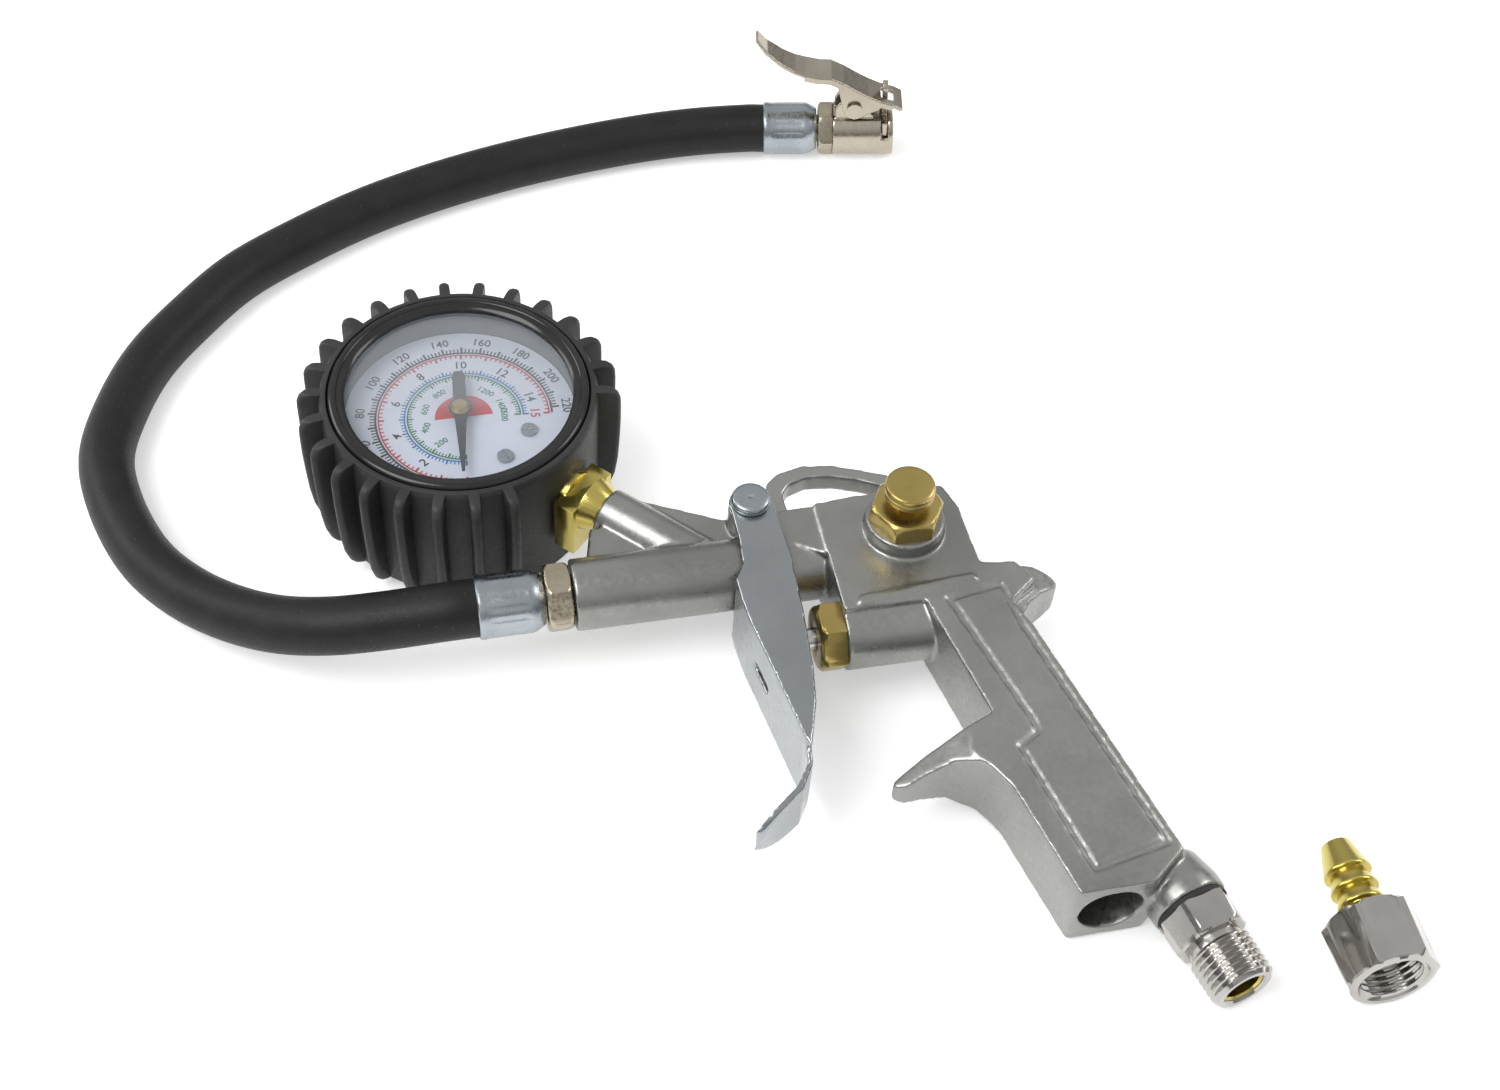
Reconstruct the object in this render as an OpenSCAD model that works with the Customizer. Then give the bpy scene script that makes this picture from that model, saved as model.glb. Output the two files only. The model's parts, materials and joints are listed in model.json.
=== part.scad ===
// Portable tire inflator: a die-cast air gun with a lever trigger, a dial gauge in a finned
// rubber boot, a bleed button, a short hose with a clip-on chuck, and a loose barbed adaptor.
// The gun lies on its side. Its own frame has X along the barrel towards the grip, Y towards
// the hanging hook and Z square to its middle plane; lay() then leans it onto the table, where
// it rests on the boot's rim, the end of the grip and the chuck at the end of the stiff hose.

/* [Barrel and block] */
// Radius of the barrel
barrel_r = 7.7; // [7.5:0.1:7.8]
// Half the thickness of the flat block and of the grip
body_half = 9; // [8.8:0.1:9.4]
// Half the width of the casting at the trigger's pivot
pivot_half = 8.6; // [8.4:0.1:8.8]
// Length of the barrel in front of the trigger pivot
barrel_len = 40.2; // [38:0.1:44]
// Radius of the main air passage along the barrel
air_r = 3; // [2.5:0.1:3.2]
// Front face of the cast block, behind the pivot
block_front = 13.5; // [13:0.1:14.5]
// Rear face of the cast block, behind the pivot
block_rear = 44.4; // [43:0.1:46]
// Height of the raised rib above the block's face
rib_h = 0.7; // [0.4:0.1:1.2]
// Bar thickness of the hanging hook, in the gun's plane
hook_w = 3.5; // [3:0.1:4]
// Bar depth of the hanging hook, across the gun's plane
hook_d = 4.8; // [4:0.2:7]

/* [Trigger] */
// Height of the pivot pin above the barrel axis
pivot_y = 9.8; // [9.6:0.1:11]
// Radius of the pivot pin
pin_r = 2.4; // [1.8:0.1:2.6]
// Radius of the pivot pin's head
pin_head_r = 4.2; // [3.6:0.1:4.8]
// Thickness of the pivot pin's head
pin_head_t = 1.9; // [1.2:0.1:2.5]
// Thickness of the pressed sheet of the trigger
sheet_t = 1.2; // [0.9:0.1:1.3]
// Gap between the trigger's side plates and the casting
side_gap = 0.3; // [0.25:0.05:0.5]
// Length of the trigger below the barrel axis
trigger_len = 67; // [62:0.5:72]
// Angle through which the trigger is pulled, in degrees
trigger_pull = 7.5; // [4:0.5:8]

/* [Air valve] */
// Distance of the valve axis below the barrel axis
valve_drop = 20.7; // [20:0.1:21.5]
// Outer radius of the valve housing
housing_r = 7.5; // [7.2:0.1:8]
// Radius of the bored valve chamber
chamber_r = 5.2; // [4.8:0.1:5.6]
// Radius of the push rod that the trigger presses
rod_r = 2.4; // [1.8:0.1:2.6]
// Width across flats of the gland nut
gland_af = 13.5; // [12.5:0.5:14]
// Visible thickness of the gland nut
gland_t = 5.5; // [4.5:0.5:6]

/* [Bleed valve] */
// Distance of the bleed button behind the pivot
bleed_x = 31; // [30:0.5:32]
// Distance of the bleed button below the barrel axis
bleed_drop = 1.5; // [1:0.5:3]
// Radius of the raised round boss
bleed_boss_r = 8.5; // [8.2:0.1:9]
// Height of the boss above the block's face
bleed_boss_h = 3.8; // [3:0.2:5]
// Width across flats of the bleed nut
bleed_af = 14; // [13:0.5:15]
// Thickness of the bleed nut
bleed_nut_t = 4.4; // [3.4:0.2:5.4]
// Radius of the button's cap
cap_r = 5.3; // [4.5:0.1:6]
// Thickness of the button's cap
cap_t = 3.4; // [2.4:0.2:4]
// Gap under the cap, which is the travel plus a little
cap_gap = 2.9; // [2.6:0.1:4]

/* [Grip] */
// Slope of the grip away from square to the barrel, in degrees
grip_rake = 13.5; // [12.5:0.5:14.5]
// Length of the grip below the barrel axis
grip_len = 93.5; // [91:0.5:97]
// Radius of the cored hole in the grip's end
core_r = 6.3; // [5.5:0.1:6.6]
// Depth of the cored hole
core_depth = 32; // [20:1:34]
// Reach of the finger hook in front of the grip
finger_hook = 20; // [16:0.5:24]
// Reach of the spur behind the block
spur = 17.5; // [15:0.5:21]
// Depth of the recessed panel's border groove
groove_d = 0.6; // [0.3:0.1:1]

/* [Air inlet] */
// Radius over the inlet's outer thread, a G1/4 pipe thread
g14_r = 6.58; // [6.4:0.02:6.7]
// Length of the inlet's outer thread
inlet_thread = 9.5; // [8:0.5:12]
// Width across flats of the inlet nipple
nipple_af = 14; // [13.5:0.5:15]
// Thickness of the nipple's hexagon
nipple_hex = 7; // [5:0.5:9]
// Radius of the nipple's bore
nipple_bore = 4.2; // [3.5:0.1:4.6]
// Thickness of the sealing ring under the nipple
inlet_seal_t = 1; // [0.6:0.1:1.6]

/* [Gauge] */
// Distance from the barrel axis to the dial's centre, along the gauge boss
gauge_reach = 68.3; // [67.5:0.1:71]
// Depth of the boot's fins, from its solid ring outwards
fin_depth = 5; // [4.6:0.1:6]
// Depth of the boot below the gun's middle plane
boot_below = 20; // [19.4:0.1:20.6]
// Height of the bezel above the gun's middle plane
bezel_above = 13; // [12.6:0.1:14]
// Number of fin places round the boot
fins = 26; // [22:1:28]
// Thickness of a fin
fin_t = 2.3; // [1.6:0.1:2.8]
// Radius of the gauge's steel case
case_r = 26.6; // [26.4:0.1:26.8]
// Width of the bezel's face, from its edge to the window
bezel_lip = 3.8; // [3.2:0.1:4.6]
// Height of the dial's face above the gun's middle plane
dial_above = 5; // [4.9:0.1:5.6]
// Radius of the gauge boss on the barrel
boss_r = 5.6; // [5.5:0.1:6]
// Width across the brass stem's square
stem_af = 14; // [13:0.5:15]
// Length of the pointer from its axis
needle_len = 18.4; // [16:0.1:20]

/* [Hose] */
// Outer radius of the hose
hose_r = 6.25; // [6:0.05:6.3]
// Radius of the hose's bore
hose_bore = 3.5; // [3.3:0.1:4]
// Length of a crimped ferrule
ferrule_len = 14; // [12:0.5:14.5]
// Wall of a crimped ferrule
ferrule_t = 0.65; // [0.5:0.05:0.8]
// Width across flats of the hose coupling at the gun
coupling_af = 13.5; // [13:0.5:15]

/* [Chuck] */
// Radius of the chuck's body
chuck_r = 6.8; // [6.6:0.05:6.85]
// Length of the chuck's body
chuck_len = 16; // [16:0.5:18]
// Radius of the mouth that takes a tyre valve
mouth_r = 4.15; // [4:0.05:4.4]
// Height of the lever's pivot above the chuck's axis
lever_up = 9.5; // [9.3:0.1:9.8]
// Height of the lever's tail above the chuck's axis
tail_up = 30; // [28:0.5:32]

/* [Loose adaptor] */
// Width across flats of the swivel nut
nut_af = 17; // [16.5:0.5:19]
// Length of the swivel nut
nut_len = 14; // [13.5:0.5:16]
// Radius over the tail's barbs
barb_r = 4.8; // [4.6:0.1:5]
// Length of the barbed tail outside the nut
barb_len = 16.9; // [15.5:0.1:18]

/* [Hidden] */
$fn = 64;

// Small clearances
run = 0.05;       // running fit, on the radius
seat = 0.02;      // pieces that are screwed or pressed together, on the radius
eps = 0.01;       // overlap of a cutter with what it cuts

// Grip: points on the block's face, measured from the pivot's foot on the barrel axis
rake = tan(grip_rake);
function rear_x(y) = 51 + (-28 - y) * rake;
function fore_low_x(y) = 35.2 + (-64 - y) * rake;
core_heading = -90 + grip_rake;
inlet_heading = core_heading;
inlet_p = [rear_x(-grip_len) - 1.1, -grip_len - 2, 0];
inlet_r = 7.8;
inlet_screw = 7;     // depth of the nipple's inner thread
core_p = [fore_low_x(-grip_len) + core_r + 1.6, -grip_len, 0];
finger_tip = [rear_x(-59) - 23.4 - finger_hook, -58.8];
spur_tip = [block_rear + spur, -14.6];

// How the gun lies: it leans towards lie_heading until the grip's end meets the table
lie_heading = -50;
lie_dir = [cos(lie_heading), sin(lie_heading)];
boss_heading = 135;
boss_root = -9;
gauge_c = [boss_root + gauge_reach * cos(boss_heading), gauge_reach * sin(boss_heading), 0];
bezel_r = case_r + 2;       // the bezel stands out beyond the case
window_r = bezel_r - bezel_lip;
boot_ring_r = case_r + 3.8; // solid ring of the boot, inside its fins
boot_r = boot_ring_r + fin_depth;
foot_r = max(boot_r - 6, boot_ring_r);
foot_along = gauge_c[0] * lie_dir[0] + gauge_c[1] * lie_dir[1] + foot_r;
heel = [rear_x(-grip_len + 6), -grip_len + 6];
heel_along = heel[0] * lie_dir[0] + heel[1] * lie_dir[1];
lie_tilt = atan((boot_below - body_half) / (heel_along - foot_along));
lift = boot_below * cos(lie_tilt) + foot_along * sin(lie_tilt);
bed = [7.7, -17.697];  // middle of the part's footprint, without the hose and the chuck

function lean(p) = let(a = p[0] * lie_dir[0] + p[1] * lie_dir[1],
        b = -p[0] * lie_dir[1] + p[1] * lie_dir[0],
        a2 = a * cos(lie_tilt) + p[2] * sin(lie_tilt),
        z2 = -a * sin(lie_tilt) + p[2] * cos(lie_tilt))
    [a2 * lie_dir[0] - b * lie_dir[1] - bed[0], a2 * lie_dir[1] + b * lie_dir[0] - bed[1],
        z2 + lift];

module lay() {
    translate([-bed[0], -bed[1], lift])
        rotate([0, 0, lie_heading])
            rotate([0, lie_tilt, 0])
                rotate([0, 0, -lie_heading])
                    children();
}

// Trigger
plate_in = pivot_half + side_gap;
plate_out = plate_in + sheet_t;
web_x = -6.6;        // outer face of the web at the push rod's height
rod_tip = web_x + sheet_t + 0.8;
rod_travel = (pivot_y + valve_drop) * tan(trigger_pull);

// Valve, measured along the barrel
gland_x = block_front;
valve_seat_x = gland_x + 9;
chamber_end = valve_seat_x + 13.5;
poppet_t = 2.6;

// Bleed valve, measured across the gun
boss_top = body_half + bleed_boss_h;
nut_top = boss_top + bleed_nut_t;
bleed_stem_r = 2.1;
bleed_bore_r = 4;
bleed_floor = -5.5;
bleed_seat = 4.2;

// Hose ends, measured along the barrel in front of the pivot
axis_y = -1.2;        // the barrel's axis lies a little below the pivot's foot
coupling_x = -barrel_len - 0.4;
coupling_t = 5.4;
ferrule_x = coupling_x - coupling_t - 0.4;
hose_gap = 2.7;
hose_x = ferrule_x - hose_gap;
neck_r = 3.6;
barb_inner_r = 3.1;
hose_air_r = 2.1;
ferrule_r = hose_r + seat + ferrule_t;

// Chuck, which lies on its ferrule at the end of the hose
chuck_p = [35.5 - bed[0], 159.3 - bed[1], ferrule_r];
chuck_heading = -11.5;
chuck_hex_x = ferrule_len + 0.4;
chuck_hex_t = 3.8;
chuck_hex_af = 12;
chuck_x = chuck_hex_x + chuck_hex_t;
lever_x = chuck_x + 5.6;
lever_pin_r = 1.3;
lever_t = 0.9;
lever_half = 3.5;
mouth_x = chuck_x + chuck_len;
jaw_x = mouth_x - 3;
jaw_t = 1.4;
jaw_low = 1.5;
seal_r = mouth_r + 0.6;
seal_end = 9.3;        // from the start of the chuck's body to the face of its seal
flat_up = 5.5;        // flat milled along the top of the chuck's body
cheek_t = 0.9;

// Gauge, measured from the gun's middle plane
case_floor = -boot_below + 2.6;
case_wall = 0.9;
bezel_foot = 5.6;
dial_t = 0.7;
dial_z = dial_above - dial_t;
needle_z = dial_above + 3;
needle_tail = 10.8;
case_top = bezel_above - 2.5;
dial_gap_heading = -49.8;    // middle of the scale's gap
sweep = 270;
needle_heading = dial_gap_heading - (360 - sweep) / 2;
stem_flange_r = 30.6;        // inner face of the brass square, from the dial's centre
stem_flange_t = 5.2;
stem_drop = 3.5;             // the square sits lower than the stem's axis
stem_r = 4.2;
boss_end = gauge_reach - 39.8; // length of the boss beyond the barrel axis
gear_module = 0.3;
pinion_teeth = 10;
sector_teeth = 80;
pinion_r = gear_module * pinion_teeth / 2;
sector_r = gear_module * sector_teeth / 2;
sector_heading = boss_heading - 90;
gear_z = -5;
gear_t = 1.2;
frame_low = -10;
frame_high = 1;
frame_t = 1;

// Loose adaptor, lying on a flat of its nut
adaptor_p = [97.8 - bed[0], -104.4 - bed[1], nut_af / 2];
adaptor_heading = -91;
nut_thread_r = 6.63;
nut_thread_len = nut_len - 5.6;
tail_r = 3.6;

module rod(x0, x1, r) {
    translate([x0, 0, 0]) rotate([0, 90, 0]) cylinder(h = x1 - x0, r = r);
}

module hex_rod(x0, x1, af, turn = 0) {
    translate([x0, 0, 0]) rotate([0, 90, 0]) rotate([0, 0, turn])
        cylinder(h = x1 - x0, r = af / sqrt(3), $fn = 6);
}

module cone(x0, x1, r0, r1) {
    translate([x0, 0, 0]) rotate([0, 90, 0]) cylinder(h = x1 - x0, r1 = r0, r2 = r1);
}

module slab(points, half) {
    translate([0, 0, -half]) linear_extrude(2 * half) polygon(points);
}

// A round-wire coil along X: 8 rings of 6 sides to a turn, with both ends closed flat
function coil_point(t, r, pitch) = [t * pitch, r * cos(360 * t), r * sin(360 * t)];
function coil_ring(t, r, pitch, w) = let(c = coil_point(t, r, pitch),
        out = [0, cos(360 * t), sin(360 * t)],
        lead = [pitch, -2 * PI * r * sin(360 * t), 2 * PI * r * cos(360 * t)],
        tan_ = lead / norm(lead), up = cross(tan_, out))
    [for (k = [0:5]) c + w * (cos(60 * k) * out + sin(60 * k) * up)];

module coil(r, w, turns, length) {
    n = round(8 * turns);
    pitch = length / turns;
    rings = [for (i = [0:n]) each coil_ring(i / 8, r, pitch, w)];
    faces = concat(
        [for (i = [0:n - 1], k = [0:5]) [6 * i + k, 6 * (i + 1) + k, 6 * (i + 1) + (k + 1) % 6]],
        [for (i = [0:n - 1], k = [0:5]) [6 * i + k, 6 * (i + 1) + (k + 1) % 6, 6 * i + (k + 1) % 6]],
        [for (k = [1:4]) [0, k, k + 1]],
        [for (k = [1:4]) [6 * n, 6 * n + k + 1, 6 * n + k]]);
    polyhedron(points = rings, faces = faces);
}

// ---------------------------------------------------------------- the casting

module grip_plan() {
    polygon([
        [block_front, 8.3], [block_front + 6, 9], [block_rear - 8, 9.4], [block_rear - 5, 9.9], [block_rear - 2, 9],
        [block_rear, body_half - 6], [block_rear + 0.6, -13.2], [block_rear + 8, -13.6],
        [block_rear + 11, -19], [rear_x(-23) - 0.8, -24], [rear_x(-30), -30],
        [rear_x(-grip_len + 6), -grip_len + 6], [rear_x(-grip_len) - 9, -grip_len],
        [fore_low_x(-grip_len), -grip_len], [fore_low_x(-68), -68], [32.6, -61.5],
        [30.5, -59], [31.5, -54.6], [37.2, -51], [32, -26], [31, valve_y_low()],
        [block_front, valve_y_low()]]);
}

function valve_y_low() = -valve_drop;

// The finger hook and the spur thin out towards their tips, so each is a plan outline cut
// by a wedge seen from the grip's end
module finger_hook_bar() {
    tip = finger_tip;
    intersection() {
        translate([0, 0, -body_half]) linear_extrude(2 * body_half)
            polygon([[38, -50], [33, -52], [23, -55.4], [tip[0] + 2.4, -58], [tip[0], tip[1] - 0.4],
                [tip[0] - 0.3, tip[1] - 1.8], [tip[0] + 2, tip[1] - 2.7], [21, -60.4],
                [27, -59.4], [32, -61.4], [37, -67]]);
        rotate([90, 0, 0]) translate([0, 0, 40]) linear_extrude(40)
            polygon([[40, -body_half], [40, body_half], [32.5, body_half], [29.5, body_half - 0.9],
                [25, body_half - 3], [tip[0] + 3, 3.6], [tip[0] - 0.5, 2.2],
                [tip[0] - 0.5, -2.2], [tip[0] + 3, -3.6], [25, 3 - body_half],
                [29.5, 0.9 - body_half], [32.5, -body_half]]);
    }
}

module spur_bar() {
    tip = spur_tip;
    intersection() {
        translate([0, 0, -body_half]) linear_extrude(2 * body_half)
            polygon([[block_rear - 2, -12.6], [block_rear + 4, -12.9], [tip[0] - 5, -13],
                [tip[0] - 1.2, tip[1] - 0.3], [tip[0], tip[1] - 2.2], [tip[0] - 1.2, tip[1] - 4.2],
                [tip[0] - 5, -20.6], [tip[0] - 8.4, -23.4], [rear_x(-27), -27],
                [block_rear - 2, -27]]);
        rotate([90, 0, 0]) linear_extrude(40)
            polygon([[30, -body_half], [30, body_half], [block_rear + 1, body_half],
                [block_rear + 5, body_half - 1.2], [tip[0] - 3, 4.6],
                [tip[0] + 0.5, 2.6], [tip[0] + 0.5, -2.6], [tip[0] - 3, -4.6],
                [block_rear + 5, 1.2 - body_half], [block_rear + 1, -body_half]]);
    }
}

module hook_bar() {
    inner = [[9, 16.8], [11, 19.6], [15.3, 21.1], [20.8, 20.6], [26.4, 18.7], [31.6, 16],
        [37.5, 12.4], [block_rear - 2.6, 8.4]];
    outer = [[block_rear - 0.5, 9.6], [40.4, 14.6], [34, 18.9 - 3.5 + hook_w],
        [27.7, 21.6 - 3.5 + hook_w], [21.4, 24 - 3.5 + hook_w], [15, 24.7 - 3.5 + hook_w],
        [9, 23.3 - 3.5 + hook_w], [6.2, 20.8], [5.4, 17.2]];
    slab(concat(inner, outer), hook_d / 2);
    slab([[9.1, 17], [9.4, 12.6], [7.4, 8], [-3, 8], [-4.6, 12], [-2, 14.6], [3, 14.8],
        [5.4, 17.3]], hook_d / 2);
}

module gusset() {
    slab([[-25.9, 22.6], [-3, 11.5], [-3, 5], [-12, 2], [-24, 14]], 2.2);
    slab([[-34, 14.6], [-36.6, 4], [-24, 4], [-24, 14]], 2.2);
}

module air_passages() {
    translate([0, axis_y, 0]) rod(-barrel_len + 11, bleed_x + 2, air_r);
    translate([0, axis_y, 0]) rod(-barrel_len - 1, -barrel_len + 11, 4.6);
    translate([boss_root, 0, 0]) rotate([0, 0, boss_heading]) rod(0, boss_end + 1, 2.2);
    translate([boss_root, 0, 0]) rotate([0, 0, boss_heading]) rod(boss_end - 11, boss_end + 1, stem_r);
    translate([0, -valve_drop, 0]) rod(gland_x - 1, valve_seat_x, chamber_r);
    translate([0, -valve_drop, 0]) rod(valve_seat_x - 1, valve_seat_x + 2, 3.3);
    translate([0, -valve_drop, 0]) rod(valve_seat_x + 1.2, chamber_end, chamber_r);
    translate([valve_seat_x - 1.6, 0, 0]) rotate([90, 0, 0]) cylinder(h = valve_drop, r = 1.8);
    translate([bleed_x, -bleed_drop, bleed_floor])
        cylinder(h = boss_top - bleed_floor + 1, r = bleed_bore_r);
    translate(inlet_p) rotate([0, 0, inlet_heading]) rod(-inlet_screw - 1, 1, 5.6);
    inlet_run();
    translate(core_p) rotate([0, 0, core_heading]) rod(-core_depth, 2, core_r);
    translate([0, pivot_y, -body_half - 1]) cylinder(h = 2 * body_half + 2, r = pin_r + run);
}

// The passage from the inlet's thread up the back of the grip to the valve chamber
inlet_top = [chamber_end - 3, -valve_drop, 0];
inlet_low = inlet_p - inlet_screw * [cos(inlet_heading), sin(inlet_heading), 0];
module inlet_run() {
    d = inlet_top - inlet_low;
    translate(inlet_low) rotate([0, 0, atan2(d[1], d[0])]) rod(0, norm(d), 2);
}

// Border groove of the grip's recessed panel, on one face
module panel_groove() {
    w = 1.5;
    outer = [[34.9, -20.6], [48.2, -18.4], [rear_x(-27) - 1.4, -27], [rear_x(-86) - 1.4, -86],
        [46.2, -89.6], [39.6, -58.8], [44, -56.2], [44.2, -54.6]];
    inner = [[34.9 + 2.2, -20.4 - w], [47.4, -18.6 - w], [rear_x(-28) - 2.8, -29],
        [rear_x(-84.6) - 2.8, -84.6], [47.4, -88], [41.2, -59.6], [45.6, -56.9], [45.8, -54.8]];
    translate([0, 0, body_half - groove_d]) difference() {
        linear_extrude(groove_d + 1) polygon(outer);
        translate([0, 0, -1]) linear_extrude(groove_d + 3) polygon(inner);
    }
}

module gun_body() {
    color([0.66, 0.67, 0.67])
        lay() difference() {
            union() {
                translate([0, axis_y, 0]) rod(-barrel_len, block_front + 14, barrel_r);
                slab([[-2, -1], [-2, pivot_y - 1.5], [block_front + 1, pivot_y - 1.5],
                    [block_front + 1, -6], [block_front - 6, -1]], pivot_half - 0.4);
                translate([boss_root, 0, 0]) rotate([0, 0, boss_heading]) rod(0, boss_end, boss_r);
                gusset();
                translate([0, pivot_y, -pivot_half]) cylinder(h = 2 * pivot_half, r = 4.7);
                hook_bar();
                translate([0, 0, -body_half]) linear_extrude(2 * body_half) grip_plan();
                translate([0, -valve_drop, 0]) rod(gland_x, 36, housing_r);
                finger_hook_bar();
                spur_bar();
                translate([bleed_x, -bleed_drop, 0]) cylinder(h = boss_top, r = bleed_boss_r);
                translate(inlet_p) rotate([0, 0, inlet_heading]) union() {
                    cone(-13, -9, 3, 6.5);
                    cone(-9.01, -3, 6.5, inlet_r);
                    rod(-3.01, 0, inlet_r);
                }
                for (s = [-1, 1]) translate([0, 0, s * body_half])
                    slab([[16.6, -19.6], [17.6, -18], [42.4, -16], [42.9, -17.4], [18, -20]], rib_h);
            }
            air_passages();
            panel_groove();
            mirror([0, 0, 1]) panel_groove();
        }
}

// ---------------------------------------------------------------- trigger

// Middle line of the web from under the barrel down to the curled tip
web_line = [[-7.2, -9.8], [-7.1, -15], [web_x, -valve_drop], [-5.2, -29], [-3.9, -37],
    [-2.6, -45], [-1.6, -51], [-2, -55.4], [-5, -59.6], [-9.2, -62.8], [-14.6, 0.4 - trigger_len]];

module trigger_web() {
    n = len(web_line) - 1;
    t = sheet_t;
    intersection() {
        translate([0, 0, -plate_out]) linear_extrude(2 * plate_out)
            polygon(concat(web_line, [for (i = [n:-1:0]) web_line[i] + [t, i > n - 3 ? -0.7 * t : 0]]));
        rotate([0, -90, 0]) translate([0, 0, -20]) linear_extrude(40)
            union() {
                translate([-plate_out, -44]) square([2 * plate_out, 40]);
                polygon([[-plate_out, -43.9], [plate_out, -43.9], [8.4, -53], [6.8, -trigger_len + 6],
                    [-6.8, -trigger_len + 6], [-8.4, -53]]);
                translate([0, -trigger_len + 6.2]) circle(r = 6.8);
            }
    }
}

module trigger_side() {
    difference() {
        linear_extrude(sheet_t) union() {
            translate([0, pivot_y]) circle(r = 4.7);
            polygon([[-4.6, pivot_y + 1], [-4.4, 1.3], [-5, -6], web_line[0], web_line[1],
                web_line[2], web_line[3], web_line[4], web_line[5], web_line[6], [-0.6, -53],
                [1.2, -47], [2.6, -42.7], [3.9, -34.2], [4.9, -21.6], [5.7, -4.4],
                [4.7, pivot_y + 1]]);
        }
        translate([0, pivot_y, -1]) cylinder(h = sheet_t + 2, r = pin_r + run);
    }
}

module trigger() {
    color([0.78, 0.79, 0.80])
        lay() difference() {
            union() {
                trigger_web();
                translate([0, 0, plate_in]) trigger_side();
                translate([0, 0, -plate_out]) trigger_side();
            }
            // Pressed slot in the web
            translate([web_x - 2, -32, -1.2]) cube([7, 7, 2.4]);
        }
}

module trigger_pin() {
    color([0.80, 0.82, 0.84])
        lay() translate([0, pivot_y, 0]) difference() {
            union() {
                translate([0, 0, -plate_out - 2]) cylinder(h = 2 * plate_out + 2.2, r = pin_r);
                translate([0, 0, plate_out + 0.1]) cylinder(h = pin_head_t, r = pin_head_r);
            }
            translate([0, 0, -plate_out - 1.2]) difference() {
                cylinder(h = 0.9, r = pin_r + 1);
                translate([0, 0, -1]) cylinder(h = 3, r = pin_r - 0.6);
            }
        }
}

module trigger_clip() {
    color([0.30, 0.30, 0.31])
        lay() translate([0, pivot_y, -plate_out - 1.1]) difference() {
            cylinder(h = 0.7, r = pin_r + 1.5);
            translate([0, 0, -1]) cylinder(h = 3, r = pin_r - 0.6 + seat);
            translate([-8, -1.6, -1]) cube([8, 3.2, 3]);
        }
}

// ---------------------------------------------------------------- air valve

module at_valve() {
    lay() translate([0, -valve_drop, 0]) children();
}

module valve_gland() {
    color([0.70, 0.60, 0.27])
        at_valve() difference() {
            union() {
                hex_rod(gland_x - gland_t, gland_x, gland_af, 30);
                rod(gland_x - eps, gland_x + 5.5, chamber_r - seat);
            }
            rod(gland_x - gland_t - 1, gland_x + 7, rod_r + run);
        }
}

module valve_rod() {
    color([0.82, 0.83, 0.84])
        at_valve() union() {
            cone(rod_tip, rod_tip + 1.2, rod_r - 1.2, rod_r);
            rod(rod_tip + 1.19, valve_seat_x + 1.2, rod_r);
            rod(valve_seat_x + 1.2, valve_seat_x + 3.3, 1.6);
            rod(valve_seat_x + 3.3, valve_seat_x + 3.3 + poppet_t, chamber_r - 0.6);
            rod(valve_seat_x + 3.3 + poppet_t, valve_seat_x + 5 + poppet_t, 1.6);
        }
}

module valve_seal() {
    color([0.09, 0.09, 0.09])
        at_valve() difference() {
            rod(valve_seat_x + 2.02, valve_seat_x + 3.28, chamber_r - 0.7);
            rod(valve_seat_x, valve_seat_x + 5, 1.6 + seat);
        }
}

module valve_spring() {
    color([0.72, 0.73, 0.75])
        at_valve() translate([valve_seat_x + 3.8 + poppet_t, 0, 0])
            coil(3.4, 0.4, 4, chamber_end - valve_seat_x - 4.4 - poppet_t);
}

// ---------------------------------------------------------------- bleed valve

module at_bleed() {
    lay() translate([bleed_x, -bleed_drop, 0]) children();
}

module bleed_nut() {
    color([0.68, 0.58, 0.24])
        at_bleed() difference() {
            union() {
                translate([0, 0, boss_top + 0.02]) intersection() {
                    cylinder(h = bleed_nut_t, r = bleed_af / sqrt(3), $fn = 6);
                    cylinder(h = bleed_nut_t, r1 = bleed_af, r2 = bleed_af / 2 - 0.2);
                }
                translate([0, 0, bleed_seat]) cylinder(h = boss_top - bleed_seat + 0.1,
                    r = bleed_bore_r - seat);
            }
            translate([0, 0, bleed_seat - 1]) cylinder(h = 20, r = bleed_stem_r + run);
        }
}

module bleed_button() {
    color([0.67, 0.57, 0.27])
        at_bleed() union() {
            translate([0, 0, nut_top + cap_gap]) cylinder(h = cap_t, r = cap_r);
            translate([0, 0, 1.4]) cylinder(h = nut_top + cap_gap - 1.3, r = bleed_stem_r);
            translate([0, 0, 0.9]) cylinder(h = 2, r = 3.4);
        }
}

module bleed_seal() {
    color([0.10, 0.10, 0.10])
        at_bleed() difference() {
            translate([0, 0, 2.92]) cylinder(h = bleed_seat - 2.94, r = 3.3);
            cylinder(h = 10, r = bleed_stem_r + seat);
        }
}

module bleed_spring() {
    color([0.72, 0.73, 0.75])
        at_bleed() translate([0, 0, bleed_floor + 0.4]) rotate([0, -90, 0])
            coil(2.6, 0.35, 4, 0.9 - bleed_floor - 0.8);
}

// ---------------------------------------------------------------- air inlet

module at_inlet() {
    lay() translate(inlet_p) rotate([0, 0, inlet_heading]) children();
}

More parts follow.
